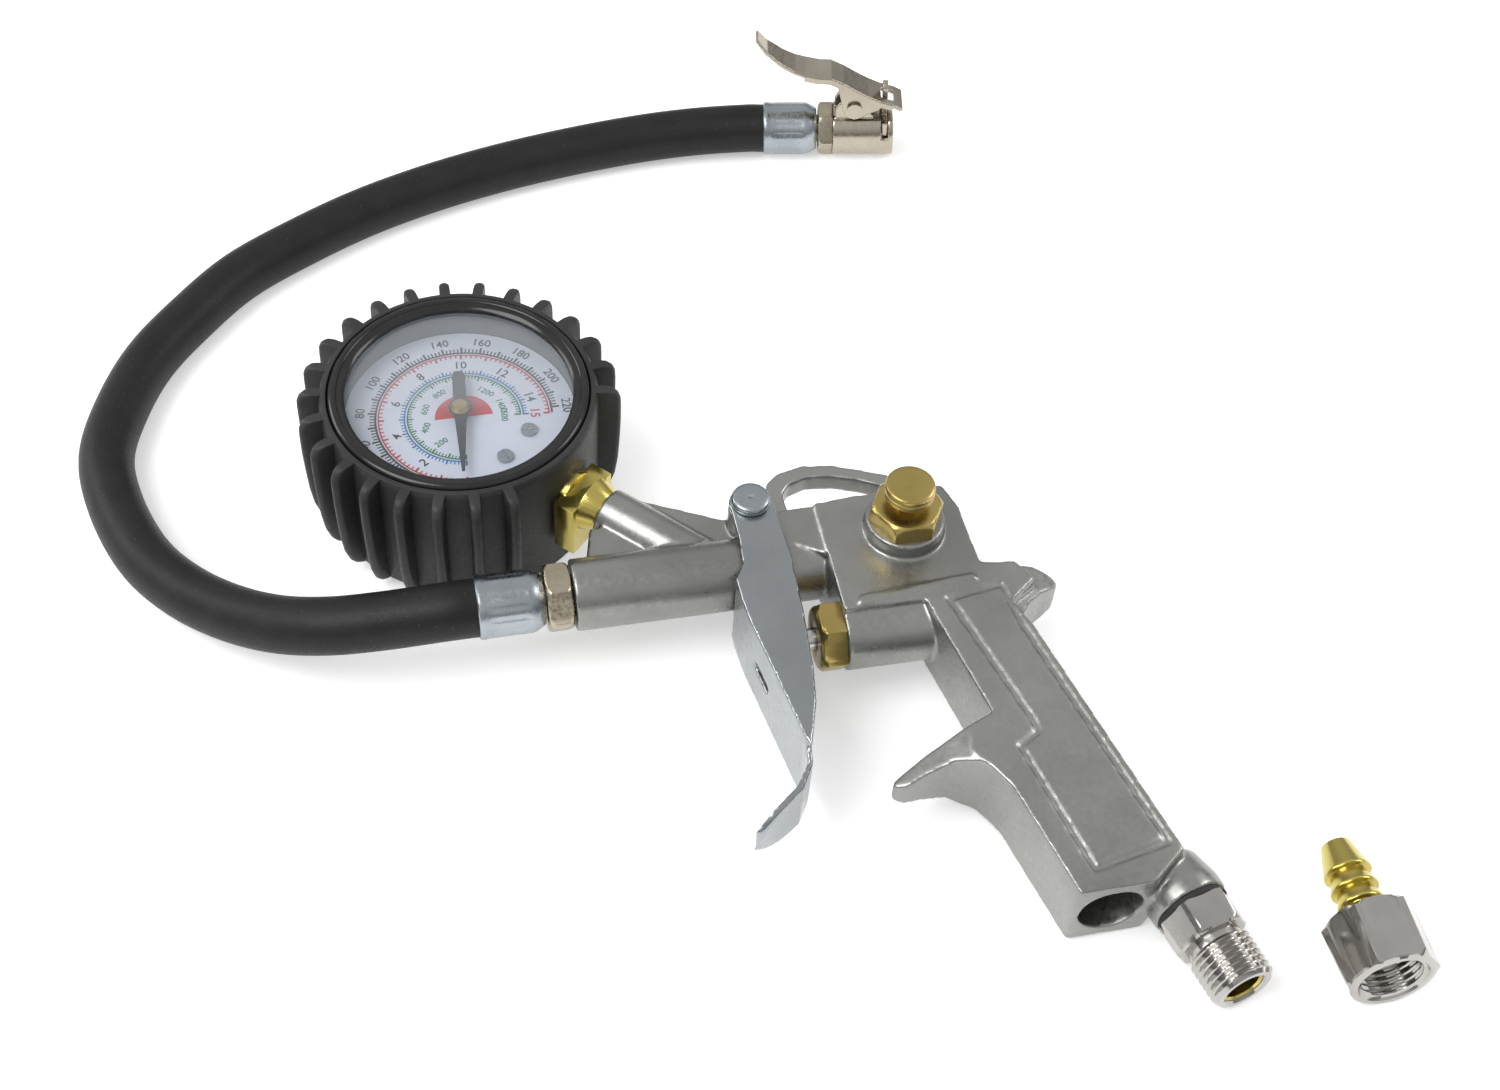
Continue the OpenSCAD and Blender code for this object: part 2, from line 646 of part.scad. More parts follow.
module inlet_nipple() {
    hex_x = inlet_seal_t + 0.02;
    color([0.80, 0.81, 0.83])
        at_inlet() difference() {
            union() {
                rod(-inlet_screw, hex_x + 0.1, 5.6 - seat);
                intersection() {
                    hex_rod(hex_x, hex_x + nipple_hex, nipple_af, 30);
                    cone(hex_x - 6, hex_x + nipple_hex, nipple_af, nipple_af / 2 + 0.3);
                }
                rod(hex_x + nipple_hex - 0.1, hex_x + nipple_hex + 1.6, 5.7);
                rod(hex_x + nipple_hex + 1.6, hex_x + nipple_hex + 1.6 + inlet_thread - 0.8, g14_r);
                cone(hex_x + nipple_hex + 0.8 + inlet_thread, hex_x + nipple_hex + 1.6 + inlet_thread,
                    g14_r, g14_r - 0.8);
            }
            rod(-12, hex_x + nipple_hex + inlet_thread + 4, nipple_bore);
        }
}

module inlet_seal() {
    color([0.12, 0.12, 0.12])
        at_inlet() difference() {
            rod(0.01, inlet_seal_t, 7.4);
            rod(-1, inlet_seal_t + 1, 5.6 + seat);
        }
}

// ---------------------------------------------------------------- hose and its ends

module at_barrel() {
    lay() translate([0, axis_y, 0]) children();
}

module hose_coupling() {
    color([0.73, 0.68, 0.55])
        at_barrel() difference() {
            union() {
                hex_rod(coupling_x - coupling_t, coupling_x, coupling_af, 30);
                rod(coupling_x - 0.1, coupling_x + 10, 4.6 - seat);
                rod(ferrule_x - 0.6, coupling_x - coupling_t + 0.1, neck_r);
                rod(ferrule_x - ferrule_len + 1, ferrule_x, barb_inner_r);
            }
            rod(ferrule_x - ferrule_len, coupling_x + 12, hose_air_r);
        }
}

// The crimped sleeve, with its closed shoulder at x = 0 and its open end at x = -ferrule_len
module ferrule_sleeve() {
    difference() {
        union() {
            rod(-ferrule_len, -ferrule_len + 1.6, ferrule_r);
            rod(-ferrule_len + 1.5, -2.4, ferrule_r - 0.15);
            cone(-2.5, 0, ferrule_r - 0.15, ferrule_r - 1.4);
        }
        rod(-ferrule_len - 1, -hose_gap, hose_r + seat);
        rod(-hose_gap - 1, 1, neck_r + seat);
    }
}

module ferrule_gun() {
    color([0.74, 0.78, 0.80])
        at_barrel() translate([ferrule_x, 0, 0]) ferrule_sleeve();
}

module at_chuck() {
    translate(chuck_p) rotate([0, 0, chuck_heading]) children();
}

// Route of the hose on the table, between its two ferrules
route = [[-80, 1, 17.4], [-92, 3.6, 15.6], [-103, 9, 12.8], [-113.5, 17.5, 9.8],
    [-123, 28, 7.6], [-130.5, 40, 6.5], [-136, 56, 6.3], [-138, 72, 6.3], [-134.3, 87.4, 6.3],
    [-127.4, 102.6, 6.3], [-117.3, 115.8, 6.3], [-104.5, 129, 6.3], [-88.5, 139, 6.3],
    [-71.5, 147.4, 6.3], [-53.5, 153.6, 6.3], [-35, 158, 6.3], [-16, 160.9, 6.3],
    [2, 162.3, 6.4], [17, 161.9, 6.7]];
chuck_dir = [cos(chuck_heading), sin(chuck_heading), 0];
hose_points = concat([lean([hose_x, axis_y, 0]), lean([ferrule_x - ferrule_len, axis_y, 0]),
    lean([ferrule_x - ferrule_len - 6, axis_y, 0])],
    [for (p = route) p - [bed[0], bed[1], 0]],
    [chuck_p - 5 * chuck_dir, chuck_p, chuck_p + (ferrule_len - hose_gap) * chuck_dir]);

function smooth_at(p, i, t) = let(n = len(p) - 1, a = p[max(i - 1, 0)], b = p[i],
        c = p[min(i + 1, n)], d = p[min(i + 2, n)])
    0.5 * (2 * b + (c - a) * t + (2 * a - 5 * b + 4 * c - d) * t * t
        + (3 * b - a - 3 * c + d) * t * t * t);
hose_sides = 12;
hose_line = concat([hose_points[0], hose_points[1]],
    [for (i = [1:len(hose_points) - 3], t = [0.5, 1]) smooth_at(hose_points, i, t)],
    [hose_points[len(hose_points) - 1]]);
hose_last = len(hose_line) - 1;
function hose_dir(i) = let(d = i == 0 ? hose_line[1] - hose_line[0]
        : i == hose_last ? hose_line[i] - hose_line[i - 1]
        : hose_line[i + 1] - hose_line[i - 1]) d / norm(d);
function hose_ring(i, r) = let(d = hose_dir(i), s = cross([0, 0, 1], d), side = s / norm(s),
        up = cross(d, side))
    [for (k = [0:hose_sides - 1]) let(a = 360 * (k + 0.5) / hose_sides)
        hose_line[i] + r * (cos(a) * side + sin(a) * up)];

module hose() {
    m = hose_sides;
    n = hose_last;
    points = concat([for (i = [0:n]) each hose_ring(i, hose_r)],
        [for (i = [0:n]) each hose_ring(i, hose_bore / cos(180 / m))]);
    o = (n + 1) * m;
    faces = concat(
        [for (i = [0:n - 1], k = [0:m - 1]) let(j = (k + 1) % m)
            [i * m + k, (i + 1) * m + k, (i + 1) * m + j]],
        [for (i = [0:n - 1], k = [0:m - 1]) let(j = (k + 1) % m)
            [i * m + k, (i + 1) * m + j, i * m + j]],
        [for (i = [0:n - 1], k = [0:m - 1]) let(j = (k + 1) % m)
            [o + i * m + k, o + (i + 1) * m + j, o + (i + 1) * m + k]],
        [for (i = [0:n - 1], k = [0:m - 1]) let(j = (k + 1) % m)
            [o + i * m + k, o + i * m + j, o + (i + 1) * m + j]],
        [for (k = [0:m - 1]) let(j = (k + 1) % m) [k, j, o + j]],
        [for (k = [0:m - 1]) let(j = (k + 1) % m) [k, o + j, o + k]],
        [for (k = [0:m - 1]) let(j = (k + 1) % m) [n * m + k, o + n * m + k, o + n * m + j]],
        [for (k = [0:m - 1]) let(j = (k + 1) % m) [n * m + k, o + n * m + j, n * m + j]]);
    color([0.10, 0.10, 0.10]) polyhedron(points = points, faces = faces);
}

module ferrule_chuck() {
    color([0.74, 0.78, 0.80])
        at_chuck() translate([ferrule_len, 0, 0]) ferrule_sleeve();
}

// ---------------------------------------------------------------- clip-on chuck

module chuck_coupling() {
    color([0.73, 0.68, 0.55])
        at_chuck() difference() {
            union() {
                hex_rod(chuck_hex_x, chuck_x, chuck_hex_af, 30);
                rod(chuck_x - 0.1, chuck_x + 4, neck_r);
                rod(ferrule_len - 0.6, chuck_hex_x + 0.1, neck_r);
                rod(1, ferrule_len, barb_inner_r);
            }
            rod(0, chuck_x + 5, 1.6);
        }
}

module chuck_body() {
    color([0.76, 0.72, 0.66])
        at_chuck() difference() {
            union() {
                difference() {
                    rod(chuck_x + 0.02, mouth_x, chuck_r);
                    translate([chuck_x - 1, -chuck_r, flat_up])
                        cube([chuck_len + 2, 2 * chuck_r, chuck_r]);
                }
                for (s = [-1, 1]) translate([lever_x, s * (lever_half - 0.3 - cheek_t / 2), 0])
                    rotate([90, 0, 0]) translate([0, 0, -cheek_t / 2]) linear_extrude(cheek_t)
                        polygon([[-5, flat_up - 1], [-5, lever_up - 1.4], [-3.8, lever_up + 0.8],
                            [-1.6, lever_up + 2.2], [1.2, lever_up + 2.2], [2.6, lever_up],
                            [5.2, flat_up + 0.6], [5.2, flat_up - 1]]);
            }
            rod(chuck_x - 1, chuck_x + 4.1, neck_r + seat);
            rod(chuck_x + 3, mouth_x + 1, 1.9);
            rod(chuck_x + 6.4, chuck_x + seal_end + 0.01, seal_r);
            rod(chuck_x + seal_end, mouth_x + 1, mouth_r);
            // Slot for the jaw plate
            translate([jaw_x - 0.15, -chuck_r, jaw_low - 0.3])
                cube([jaw_t + 0.3, 2 * chuck_r, chuck_r]);
            translate([lever_x, chuck_r, lever_up]) rotate([90, 0, 0])
                cylinder(h = 2 * chuck_r, r = lever_pin_r + run);
        }
}

// Side view of the lever's sheet, from its nose over the crest to its tail
lever_line = [[chuck_x + 18.4, 9.3], [chuck_x + 16, 10.5], [chuck_x + 12.6, 11.6],
    [chuck_x + 9.3, 13.2], [chuck_x + 6, 15.2], [chuck_x + 2.7, 17.4], [chuck_x - 0.7, 19.1],
    [chuck_x - 4, 19.3], [chuck_x - 7.3, 20.1], [chuck_x - 10, 21.1], [chuck_x - 13, 22.8],
    [chuck_x - 17.3, tail_up - 3.6], [chuck_x - 20, tail_up]];

module chuck_lever() {
    n = len(lever_line) - 1;
    half = lever_half + lever_t;
    color([0.78, 0.75, 0.69])
        at_chuck() union() {
            difference() {
                rotate([90, 0, 0]) translate([0, 0, -half]) linear_extrude(2 * half)
                    polygon(concat(lever_line,
                        [for (i = [n:-1:0]) lever_line[i] + [-0.5, -lever_t]]));
                // Slot for the jaw's fin
                translate([jaw_x - 0.4, -2, 7]) cube([jaw_t + 1.9, 4, 12]);
                // The tail narrows to a rounded end
                for (s = [-1, 1]) linear_extrude(60)
                    polygon([[chuck_x - 21, s * 6], [chuck_x - 21, s * 1.6],
                        [chuck_x - 19, s * 2.8], [chuck_x - 15, s * 3.6], [chuck_x - 6, s * 4.5],
                        [chuck_x - 6, s * 6]]);
            }
            for (s = [-1, 1]) translate([0, s * (lever_half + lever_t / 2), 0])
                rotate([90, 0, 0]) translate([0, 0, -lever_t / 2]) linear_extrude(lever_t)
                    difference() {
                        union() {
                            polygon([[lever_x - 3, lever_up - 0.9], [lever_x - 2.1, lever_up - 2.9],
                                [lever_x, lever_up - 3.7], [lever_x + 2.1, lever_up - 3],
                                [lever_x + 3.2, lever_up - 2], [lever_x + 6.6, lever_up - 0.6],
                                [chuck_x + 12.6, 11], [chuck_x + 9.3, 12.6], [chuck_x + 6, 14.6],
                                [chuck_x + 2.7, 16.8], [chuck_x + 0.8, 17.6],
                                [chuck_x + 1.4, 14.6]]);
                            polygon(concat([for (i = [1:n - 4]) lever_line[i] - [0.2, 0.5]],
                                [for (i = [n - 4:-1:1]) lever_line[i] - [0.5, 1.9]]));
                        }
                        translate([lever_x, lever_up]) circle(r = lever_pin_r + run);
                    }
        }
}

module chuck_pin() {
    color([0.80, 0.78, 0.74])
        at_chuck() translate([lever_x, 0, lever_up]) rotate([90, 0, 0]) union() {
            translate([0, 0, -lever_half - lever_t - 0.2])
                cylinder(h = 2 * (lever_half + lever_t) + 0.4, r = lever_pin_r);
            for (s = [-1, 1]) translate([0, 0, s * (lever_half + lever_t + 0.5) - 0.4])
                cylinder(h = 0.8, r = 2);
        }
}

module chuck_jaw() {
    color([0.74, 0.72, 0.68])
        at_chuck() difference() {
            union() {
                translate([jaw_x, -5.6, jaw_low]) cube([jaw_t, 11.2, flat_up - jaw_low]);
                translate([jaw_x, 0, 0]) rotate([90, 0, 90]) linear_extrude(jaw_t)
                    polygon([[-1.6, flat_up - 1], [1.6, flat_up - 1], [1.6, 13.8], [0.5, 15.2],
                        [-0.5, 15.2], [-1.6, 13.8]]);
            }
            rod(jaw_x - 1, jaw_x + 3, mouth_r + 0.25);
        }
}

module chuck_spring() {
    color([0.70, 0.70, 0.70])
        at_chuck() translate([lever_x, -1.5, lever_up]) rotate([0, 0, 90])
            coil(lever_pin_r + 0.6, 0.25, 4, 3);
}

module chuck_seal() {
    color([0.08, 0.08, 0.08])
        at_chuck() difference() {
            rod(chuck_x + 6.42, chuck_x + seal_end - 0.05, seal_r - seat);
            rod(chuck_x + 5, chuck_x + 12, 1.9);
        }
}

module chuck_core() {
    color([0.74, 0.66, 0.40])
        at_chuck() union() {
            rod(chuck_x + 4.15, chuck_x + 9.2, 0.8);
            difference() {
                rod(chuck_x + 4.15, chuck_x + 5.1, 1.9 - seat);
                for (s = [-1, 1]) translate([0, s * 1.5, 0]) rod(chuck_x + 3, chuck_x + 6, 0.5);
            }
        }
}

// ---------------------------------------------------------------- gauge

module at_gauge() {
    lay() translate(gauge_c) children();
}

module at_stem() {
    at_gauge() rotate([0, 0, boss_heading - 180]) children();
}

fin_phase = 5.8;

// One fin, seen square to its plane: it leans in at the foot and is rounded at the top
module fin() {
    top = bezel_above - 0.8;
    translate([0, -fin_t / 2, 0]) rotate([90, 0, 0]) translate([0, 0, -fin_t])
        linear_extrude(fin_t)
            polygon([[boot_ring_r - 1.4, top], [boot_r - 1.6, top], [boot_r - 0.5, top - 0.8],
                [boot_r, top - 3], [boot_r, top - 6], [boot_r - 0.8, -4],
                [boot_r - 2.6, -boot_below + 4.5], [boot_r - 4.4, -boot_below + 1],
                [boot_r - 6, -boot_below], [boot_ring_r - 1.4, -boot_below]]);
}

module gauge_boot() {
    color([0.16, 0.16, 0.16])
        at_gauge() difference() {
            union() {
                translate([0, 0, -boot_below]) cylinder(h = boot_below + bezel_above - 0.6,
                    r = boot_ring_r);
                for (i = [0:fins - 1]) let(a = fin_phase + i * 360 / fins)
                    if (abs((a - (boss_heading - 180) + 540) % 360 - 180) > 25)
                        rotate([0, 0, a]) fin();
            }
            translate([0, 0, case_floor]) cylinder(h = 60, r = case_r + 0.2);
            translate([0, 0, bezel_foot - 0.2]) cylinder(h = 60, r = bezel_r + 0.15);
            translate([0, 0, -boot_below - 1]) cylinder(h = 10, r = 20);
            rotate([0, 0, boss_heading - 180]) rod(20, boot_r + 5, 6);
        }
}

module gauge_case() {
    color([0.10, 0.10, 0.11])
        at_gauge() difference() {
            translate([0, 0, case_floor + 0.05]) cylinder(h = case_top - case_floor - 0.05, r = case_r);
            translate([0, 0, case_floor + case_wall]) cylinder(h = 60, r = case_r - case_wall);
            rotate([0, 0, boss_heading - 180]) rod(20, case_r + 2, 6.2);
        }
}

module gauge_bezel() {
    color([0.07, 0.07, 0.08])
        at_gauge() difference() {
            translate([0, 0, bezel_foot]) cylinder(h = bezel_above - bezel_foot, r = bezel_r);
            translate([0, 0, bezel_foot - 1]) cylinder(h = case_top + 1.2 - bezel_foot,
                r = case_r + 0.05);
            translate([0, 0, bezel_foot]) cylinder(h = 60, r = window_r);
            translate([0, 0, bezel_above - 1.6]) cylinder(h = 3, r1 = window_r, r2 = window_r + 2.4);
        }
}

module gauge_lens() {
    color([0.85, 0.90, 0.92, 0.3])
        at_gauge() translate([0, 0, bezel_above - 1.7]) cylinder(h = 1, r = window_r - 0.1);
}

screw_r = 15.7;
screw_depth = 3;       // length of a dial screw under the dial
module screw_places(r) {
    for (a = [-25, -59]) rotate([0, 0, a]) translate([r, 0, 0]) children();
}

module gauge_dial() {
    color([0.86, 0.88, 0.92])
        at_gauge() difference() {
            translate([0, 0, dial_z]) cylinder(h = dial_t, r = case_r - case_wall - 0.2);
            translate([0, 0, dial_z - 1]) cylinder(h = 4, r = 1.6);
            screw_places(screw_r) translate([0, 0, dial_z - 1]) cylinder(h = 4, r = 1.1);
        }
}

module dial_screws() {
    color([0.72, 0.71, 0.66])
        at_gauge() screw_places(screw_r) difference() {
            union() {
                translate([0, 0, dial_above + 0.02]) cylinder(h = 0.8, r = 1.8);
                translate([0, 0, dial_z - screw_depth])
                    cylinder(h = screw_depth + dial_t + 0.1, r = 1.05);
            }
            translate([-3, -0.25, dial_above + 0.5]) cube([6, 0.5, 1]);
        }
}

module gauge_needle() {
    color([0.22, 0.23, 0.24])
        at_gauge() rotate([0, 0, needle_heading]) difference() {
            union() {
                translate([0, 0, needle_z - 0.35]) cylinder(h = 0.55, r = 2.6);
                translate([0, 0, needle_z - 0.3]) linear_extrude(0.4)
                    polygon([[0, 1.5], [needle_len, 0.35], [needle_len, -0.35], [0, -1.5],
                        [1 - needle_tail, -1.4], [-needle_tail, -0.8], [-needle_tail, 0.8],
                        [1 - needle_tail, 1.4]]);
            }
            translate([0, 0, needle_z - 2]) cylinder(h = 4, r = 0.6 + seat);
        }
}

module needle_cap() {
    color([0.70, 0.62, 0.42])
        at_gauge() difference() {
            translate([0, 0, needle_z + 0.22]) cylinder(h = 0.8, r1 = 2.2, r2 = 1.5);
            translate([0, 0, needle_z - 2]) cylinder(h = 2.72, r = 0.6 + seat);
        }
}

module gauge_stem() {
    flange_end = stem_flange_r + stem_flange_t;
    shank_end = gauge_reach - boss_end + 10.4;
    color([0.76, 0.68, 0.22])
        at_stem() difference() {
            union() {
                translate([stem_flange_r, -stem_af / 2, -stem_af / 2 - stem_drop])
                    cube([stem_flange_t, stem_af, stem_af]);
                rod(21.5, case_r + 0.8, 4.1);
                rod(case_r + 0.2, stem_flange_r + 1, 5.4);
                cone(flange_end - 0.1, gauge_reach - boss_end, 6.2, 4.6);
                rod(gauge_reach - boss_end - 0.1, shank_end, stem_r - seat);
                translate([13.4, -8, -5]) cube([10.1, 15.2, 9]);
            }
            rod(17.5, shank_end + 1, 1.8);
            // Holes for the dial's screws
            rotate([0, 0, 180 - boss_heading]) screw_places(screw_r)
                translate([0, 0, dial_z - screw_depth - 0.3]) cylinder(h = 10, r = 1.05 + seat);
            // Socket for the root of the tube
            intersection() {
                translate([0, 0, -3 - seat]) rotate_extrude() translate([tube_r - 1 - seat, 0])
                    square([2 + 2 * seat, 5.2 + 2 * seat]);
                translate([0, 0, -4]) linear_extrude(10) polygon([[0, 0],
                    40 * [cos(-13.8), sin(-13.8)], 40 * [cos(-70), sin(-70)]]);
            }
        }
}

// C-shaped flattened tube, from the stem's block clockwise round to its free tip
tube_r = 21.5;
tip_at = 20;        // where the free tip lies, counted from the sector gear's pivot line
module bourdon_tube() {
    color([0.74, 0.60, 0.30])
        at_gauge() union() {
            difference() {
                translate([0, 0, -3]) rotate_extrude() translate([tube_r - 1, 0]) square([2, 5.2]);
                translate([0, 0, -4]) linear_extrude(10) polygon([[0, 0],
                    for (i = [0:8]) let(a = -59 + (sector_heading + tip_at + 59) * i / 8)
                        40 * [cos(a), sin(a)]]);
            }
            sector_place() translate([link_end[0], link_end[1], gear_z + 0.2])
                cylinder(h = 2.2, r = 0.9);
        }
}

// Far end of the link, under the tube's tip, seen from the sector gear's pivot
link_end = [tube_r * cos(tip_at + 2) - pinion_r - sector_r, tube_r * sin(tip_at + 2)];

module movement_frame() {
    posts = [[4, -10], [-11.5, 5]];
    color([0.72, 0.62, 0.32])
        at_gauge() difference() {
            union() {
                for (z = [frame_low, frame_high]) translate([0, 0, z]) linear_extrude(frame_t)
                    polygon([[6, -12], [8, -4], [12.6, 4], [12.6, 12], [5, 12], [-5, 9],
                        [-14, 9], [-14, 1], [-9, -4], [-6, -12]]);
                // Posts, with feet that stand on the case's floor
                for (p = posts) translate([p[0], p[1], case_floor + case_wall + 0.06])
                    cylinder(h = frame_high - case_floor - case_wall, r = 1.3);
            }
            translate([0, 0, -20]) cylinder(h = 40, r = 0.6 + run);
            sector_place() translate([0, 0, -20]) cylinder(h = 40, r = 0.8 + run);
        }
}

module sector_place() {
    rotate([0, 0, sector_heading]) translate([pinion_r + sector_r, 0, 0]) children();
}

// Straight-sided teeth round a pitch circle, from tooth first to tooth last
function tooth(r, pitch, i) = let(w = pitch * 0.17, v = pitch * 0.28)
    [for (q = [[-v, -0.36], [-w, 0.26], [w, 0.26], [v, -0.36]])
        (r + q[1]) * [cos(pitch * i + q[0]), sin(pitch * i + q[0])]];

link_pin = 5.4;     // from the sector gear's pivot to the pin that carries the link
module sector_gear() {
    pitch = 360 / sector_teeth;
    color([0.74, 0.62, 0.34])
        at_gauge() sector_place() union() {
            translate([0, 0, gear_z]) rotate([0, 0, 180]) linear_extrude(gear_t) polygon(concat(
                [[-6.4, -1.2], [1, -2.4]],
                [for (i = [-9:1]) each tooth(sector_r, pitch, i)],
                [[1, 2.4], [-6.4, 1.2]]));
            translate([link_pin, 0, gear_z - 1.4]) cylinder(h = 1.6, r = 0.45);
            translate([0, 0, frame_low - 0.3]) cylinder(h = frame_high - frame_low + frame_t + 0.6,
                r = 0.8);
        }
}

module pinion() {
    pitch = 360 / pinion_teeth;
    color([0.78, 0.70, 0.44])
        at_gauge() union() {
            rotate([0, 0, sector_heading + pitch / 2]) translate([0, 0, gear_z - 0.3])
                linear_extrude(gear_t + 0.6)
                    polygon([for (i = [0:pinion_teeth - 1]) each tooth(pinion_r, pitch, i)]);
            translate([0, 0, frame_low - 0.4]) cylinder(h = needle_z + 1 - frame_low, r = 0.6);
        }
}

// Flat spiral that takes the play out of the gears
module hairspring() {
    turns = 4;
    steps = 24 * turns;
    wire = 0.12;
    function spiral(i, off) = (1 + off + 3.4 * i / steps) * [cos(360 * turns * i / steps),
        sin(360 * turns * i / steps)];
    color([0.60, 0.55, 0.45])
        at_gauge() translate([0, 0, -1.6]) linear_extrude(0.6)
            polygon(concat([for (i = [0:steps]) spiral(i, 0)],
                [for (i = [steps:-1:0]) spiral(i, wire * 2)]));
}

module tip_link() {
    d = link_end - [link_pin, 0];
    color([0.76, 0.66, 0.36])
        at_gauge() sector_place() translate([link_pin, 0, gear_z - 1.1])
            rotate([0, 0, atan2(d[1], d[0])]) difference() {
                linear_extrude(0.8) union() {
                    circle(r = 1.1);
                    translate([norm(d), 0]) circle(r = 1.1);
                    translate([0, -0.6]) square([norm(d), 1.2]);
                }
                translate([0, 0, -1]) cylinder(h = 3, r = 0.45 + run);
            }
}

// ---------------------------------------------------------------- loose adaptor

module at_adaptor() {
    translate(adaptor_p) rotate([0, 0, adaptor_heading]) children();
}

module barb_tail() {
    rings = [-10.4, -6.6, -3];
    color([0.76, 0.68, 0.26])
        at_adaptor() difference() {
            union() {
                rod(rings[0], 3.5, tail_r);
                cone(-barb_len, rings[0] + eps, 3.1, barb_r);
                for (x = rings) union() {
                    cone(x - 2.4, x, tail_r + 0.2, barb_r);
                    rod(x - eps, x + 0.5, barb_r);
                }
                rod(2.4, 4, 5);
                cone(3.9, 5.4, 4.7, 3.2);
            }
            rod(-barb_len - 1, 9, 2);
        }
}

module swivel_nut() {
    color([0.80, 0.81, 0.83])
        at_adaptor() difference() {
            intersection() {
                hex_rod(0, nut_len, nut_af, 30);
                cone(-4, nut_len, nut_af / 2 - 0.4, nut_af / 2 + 5);
                cone(0, nut_len + 4, nut_af / 2 + 5, nut_af / 2 - 0.4);
            }
            rod(-1, 3, tail_r + 0.08);
            rod(2.3, nut_len - nut_thread_len + 0.01, 5.3);
            rod(nut_len - nut_thread_len, nut_len + 1, nut_thread_r);
        }
}

gun_body();
trigger();
trigger_pin();
trigger_clip();
valve_gland();
valve_rod();
valve_seal();
valve_spring();
bleed_nut();
bleed_button();
bleed_seal();
bleed_spring();
inlet_nipple();
inlet_seal();
hose_coupling();
ferrule_gun();
hose();
ferrule_chuck();
chuck_coupling();
chuck_body();
chuck_lever();
chuck_pin();
chuck_jaw();
chuck_spring();
chuck_seal();
chuck_core();
gauge_boot();
gauge_case();
gauge_bezel();
gauge_lens();
gauge_dial();
dial_screws();
gauge_needle();
needle_cap();
gauge_stem();
bourdon_tube();
tip_link();
movement_frame();
sector_gear();
pinion();
hairspring();
barb_tail();
swivel_nut();
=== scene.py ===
# %% [markdown]
# # Portable tire inflator
# A die-cast air gun lies on its side with a dial gauge in a finned rubber boot, a stiff hose
# that ends in a clip-on chuck, and a loose barbed adaptor beside it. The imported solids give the
# frame: every place below is worked out from the same numbers, in millimetres, and turned into
# metres at the very end, so each new surface lands on the solid that it stands for.

# %% Load the frame
import json
import math

import bpy
import bmesh
import numpy as np
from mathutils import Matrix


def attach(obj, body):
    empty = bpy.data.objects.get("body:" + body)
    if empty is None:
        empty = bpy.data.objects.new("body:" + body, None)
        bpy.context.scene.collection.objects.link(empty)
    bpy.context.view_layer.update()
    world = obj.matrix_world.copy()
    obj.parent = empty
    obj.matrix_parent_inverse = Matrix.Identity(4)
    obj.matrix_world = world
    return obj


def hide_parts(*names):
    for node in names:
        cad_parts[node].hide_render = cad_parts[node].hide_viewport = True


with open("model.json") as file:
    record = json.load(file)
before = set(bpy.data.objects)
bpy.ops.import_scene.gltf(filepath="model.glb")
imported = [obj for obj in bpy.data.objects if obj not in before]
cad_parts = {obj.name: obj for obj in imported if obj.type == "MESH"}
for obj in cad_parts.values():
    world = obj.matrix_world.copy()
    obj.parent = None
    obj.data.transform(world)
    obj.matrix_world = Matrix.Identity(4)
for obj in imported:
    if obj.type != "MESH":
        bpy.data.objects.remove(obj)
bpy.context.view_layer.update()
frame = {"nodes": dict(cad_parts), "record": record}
MM = 0.001

# %% [markdown]
# ## Where things are
# The gun has its own frame: X along the barrel, Y towards the hanging hook, Z square to the
# casting. It leans a few degrees until the end of its grip meets the table. A place is a
# function from local millimetres to scene metres, so a piece is designed upright and straight
# and only then laid down, which is how a maker draws it too.

# %% Places
HEADING, LEAN = math.radians(-50), math.radians(4.12787)
LIFT, BED = 16.8223, (7.7, -17.697)


def table(p):
    """Millimetres on the table, turned to metres."""
    return np.asarray(p, float) * MM


def gun(p):
    """Turn by -50 degrees, lean by the small angle, turn back, then shift and lift."""
    p = np.asarray(p, float)
    c, s, ct, st = math.cos(HEADING), math.sin(HEADING), math.cos(LEAN), math.sin(LEAN)
    a, b = p[..., 0] * c + p[..., 1] * s, p[..., 1] * c - p[..., 0] * s
    a, z = a * ct + p[..., 2] * st, p[..., 2] * ct - a * st + LIFT
    return np.stack([a * c - b * s - BED[0], a * s + b * c - BED[1], z], -1) * MM


def spot(origin, heading, base=gun):
    """A place at origin, with its X turned by heading degrees: origin + turn(p)."""
    c, s = math.cos(math.radians(heading)), math.sin(math.radians(heading))

    def place(p):
        p = np.asarray(p, float)
        x, y, z = p[..., 0], p[..., 1], p[..., 2]
        return base(np.stack([x * c - y * s, x * s + y * c, z], -1) + np.asarray(origin, float))

    return place


AXIS_Y, FERRULE_X, FERRULE_LEN = -1.2, -46.4, 14.0
GRIP_RAKE, GAUGE_REACH, BOSS_HEADING, CHUCK_HEADING = 13.5, 68.3, math.radians(135), -11.5
GAUGE = (-9 + GAUGE_REACH * math.cos(BOSS_HEADING), GAUGE_REACH * math.sin(BOSS_HEADING), 0)
rear = 51 + (-28 + 93.5) * math.tan(math.radians(GRIP_RAKE))
barrel = spot((0, AXIS_Y, 0), 0)
valve = spot((0, -20.7, 0), 0)
bleed = spot((31, -1.5, 0), 0)
pivot = spot((0, 9.8, 0), 0)
inlet = spot((rear - 1.1, -95.5, 0), GRIP_RAKE - 90)
gauge = spot(GAUGE, 0)
chuck_at = (35.5 - BED[0], 159.3 - BED[1], 6.92)
chuck = spot(chuck_at, CHUCK_HEADING, table)
adaptor = spot((97.8 - BED[0], -104.4 - BED[1], 8.5), -91, table)
print("gauge centre in metres", gauge([0, 0, 0]).round(4))

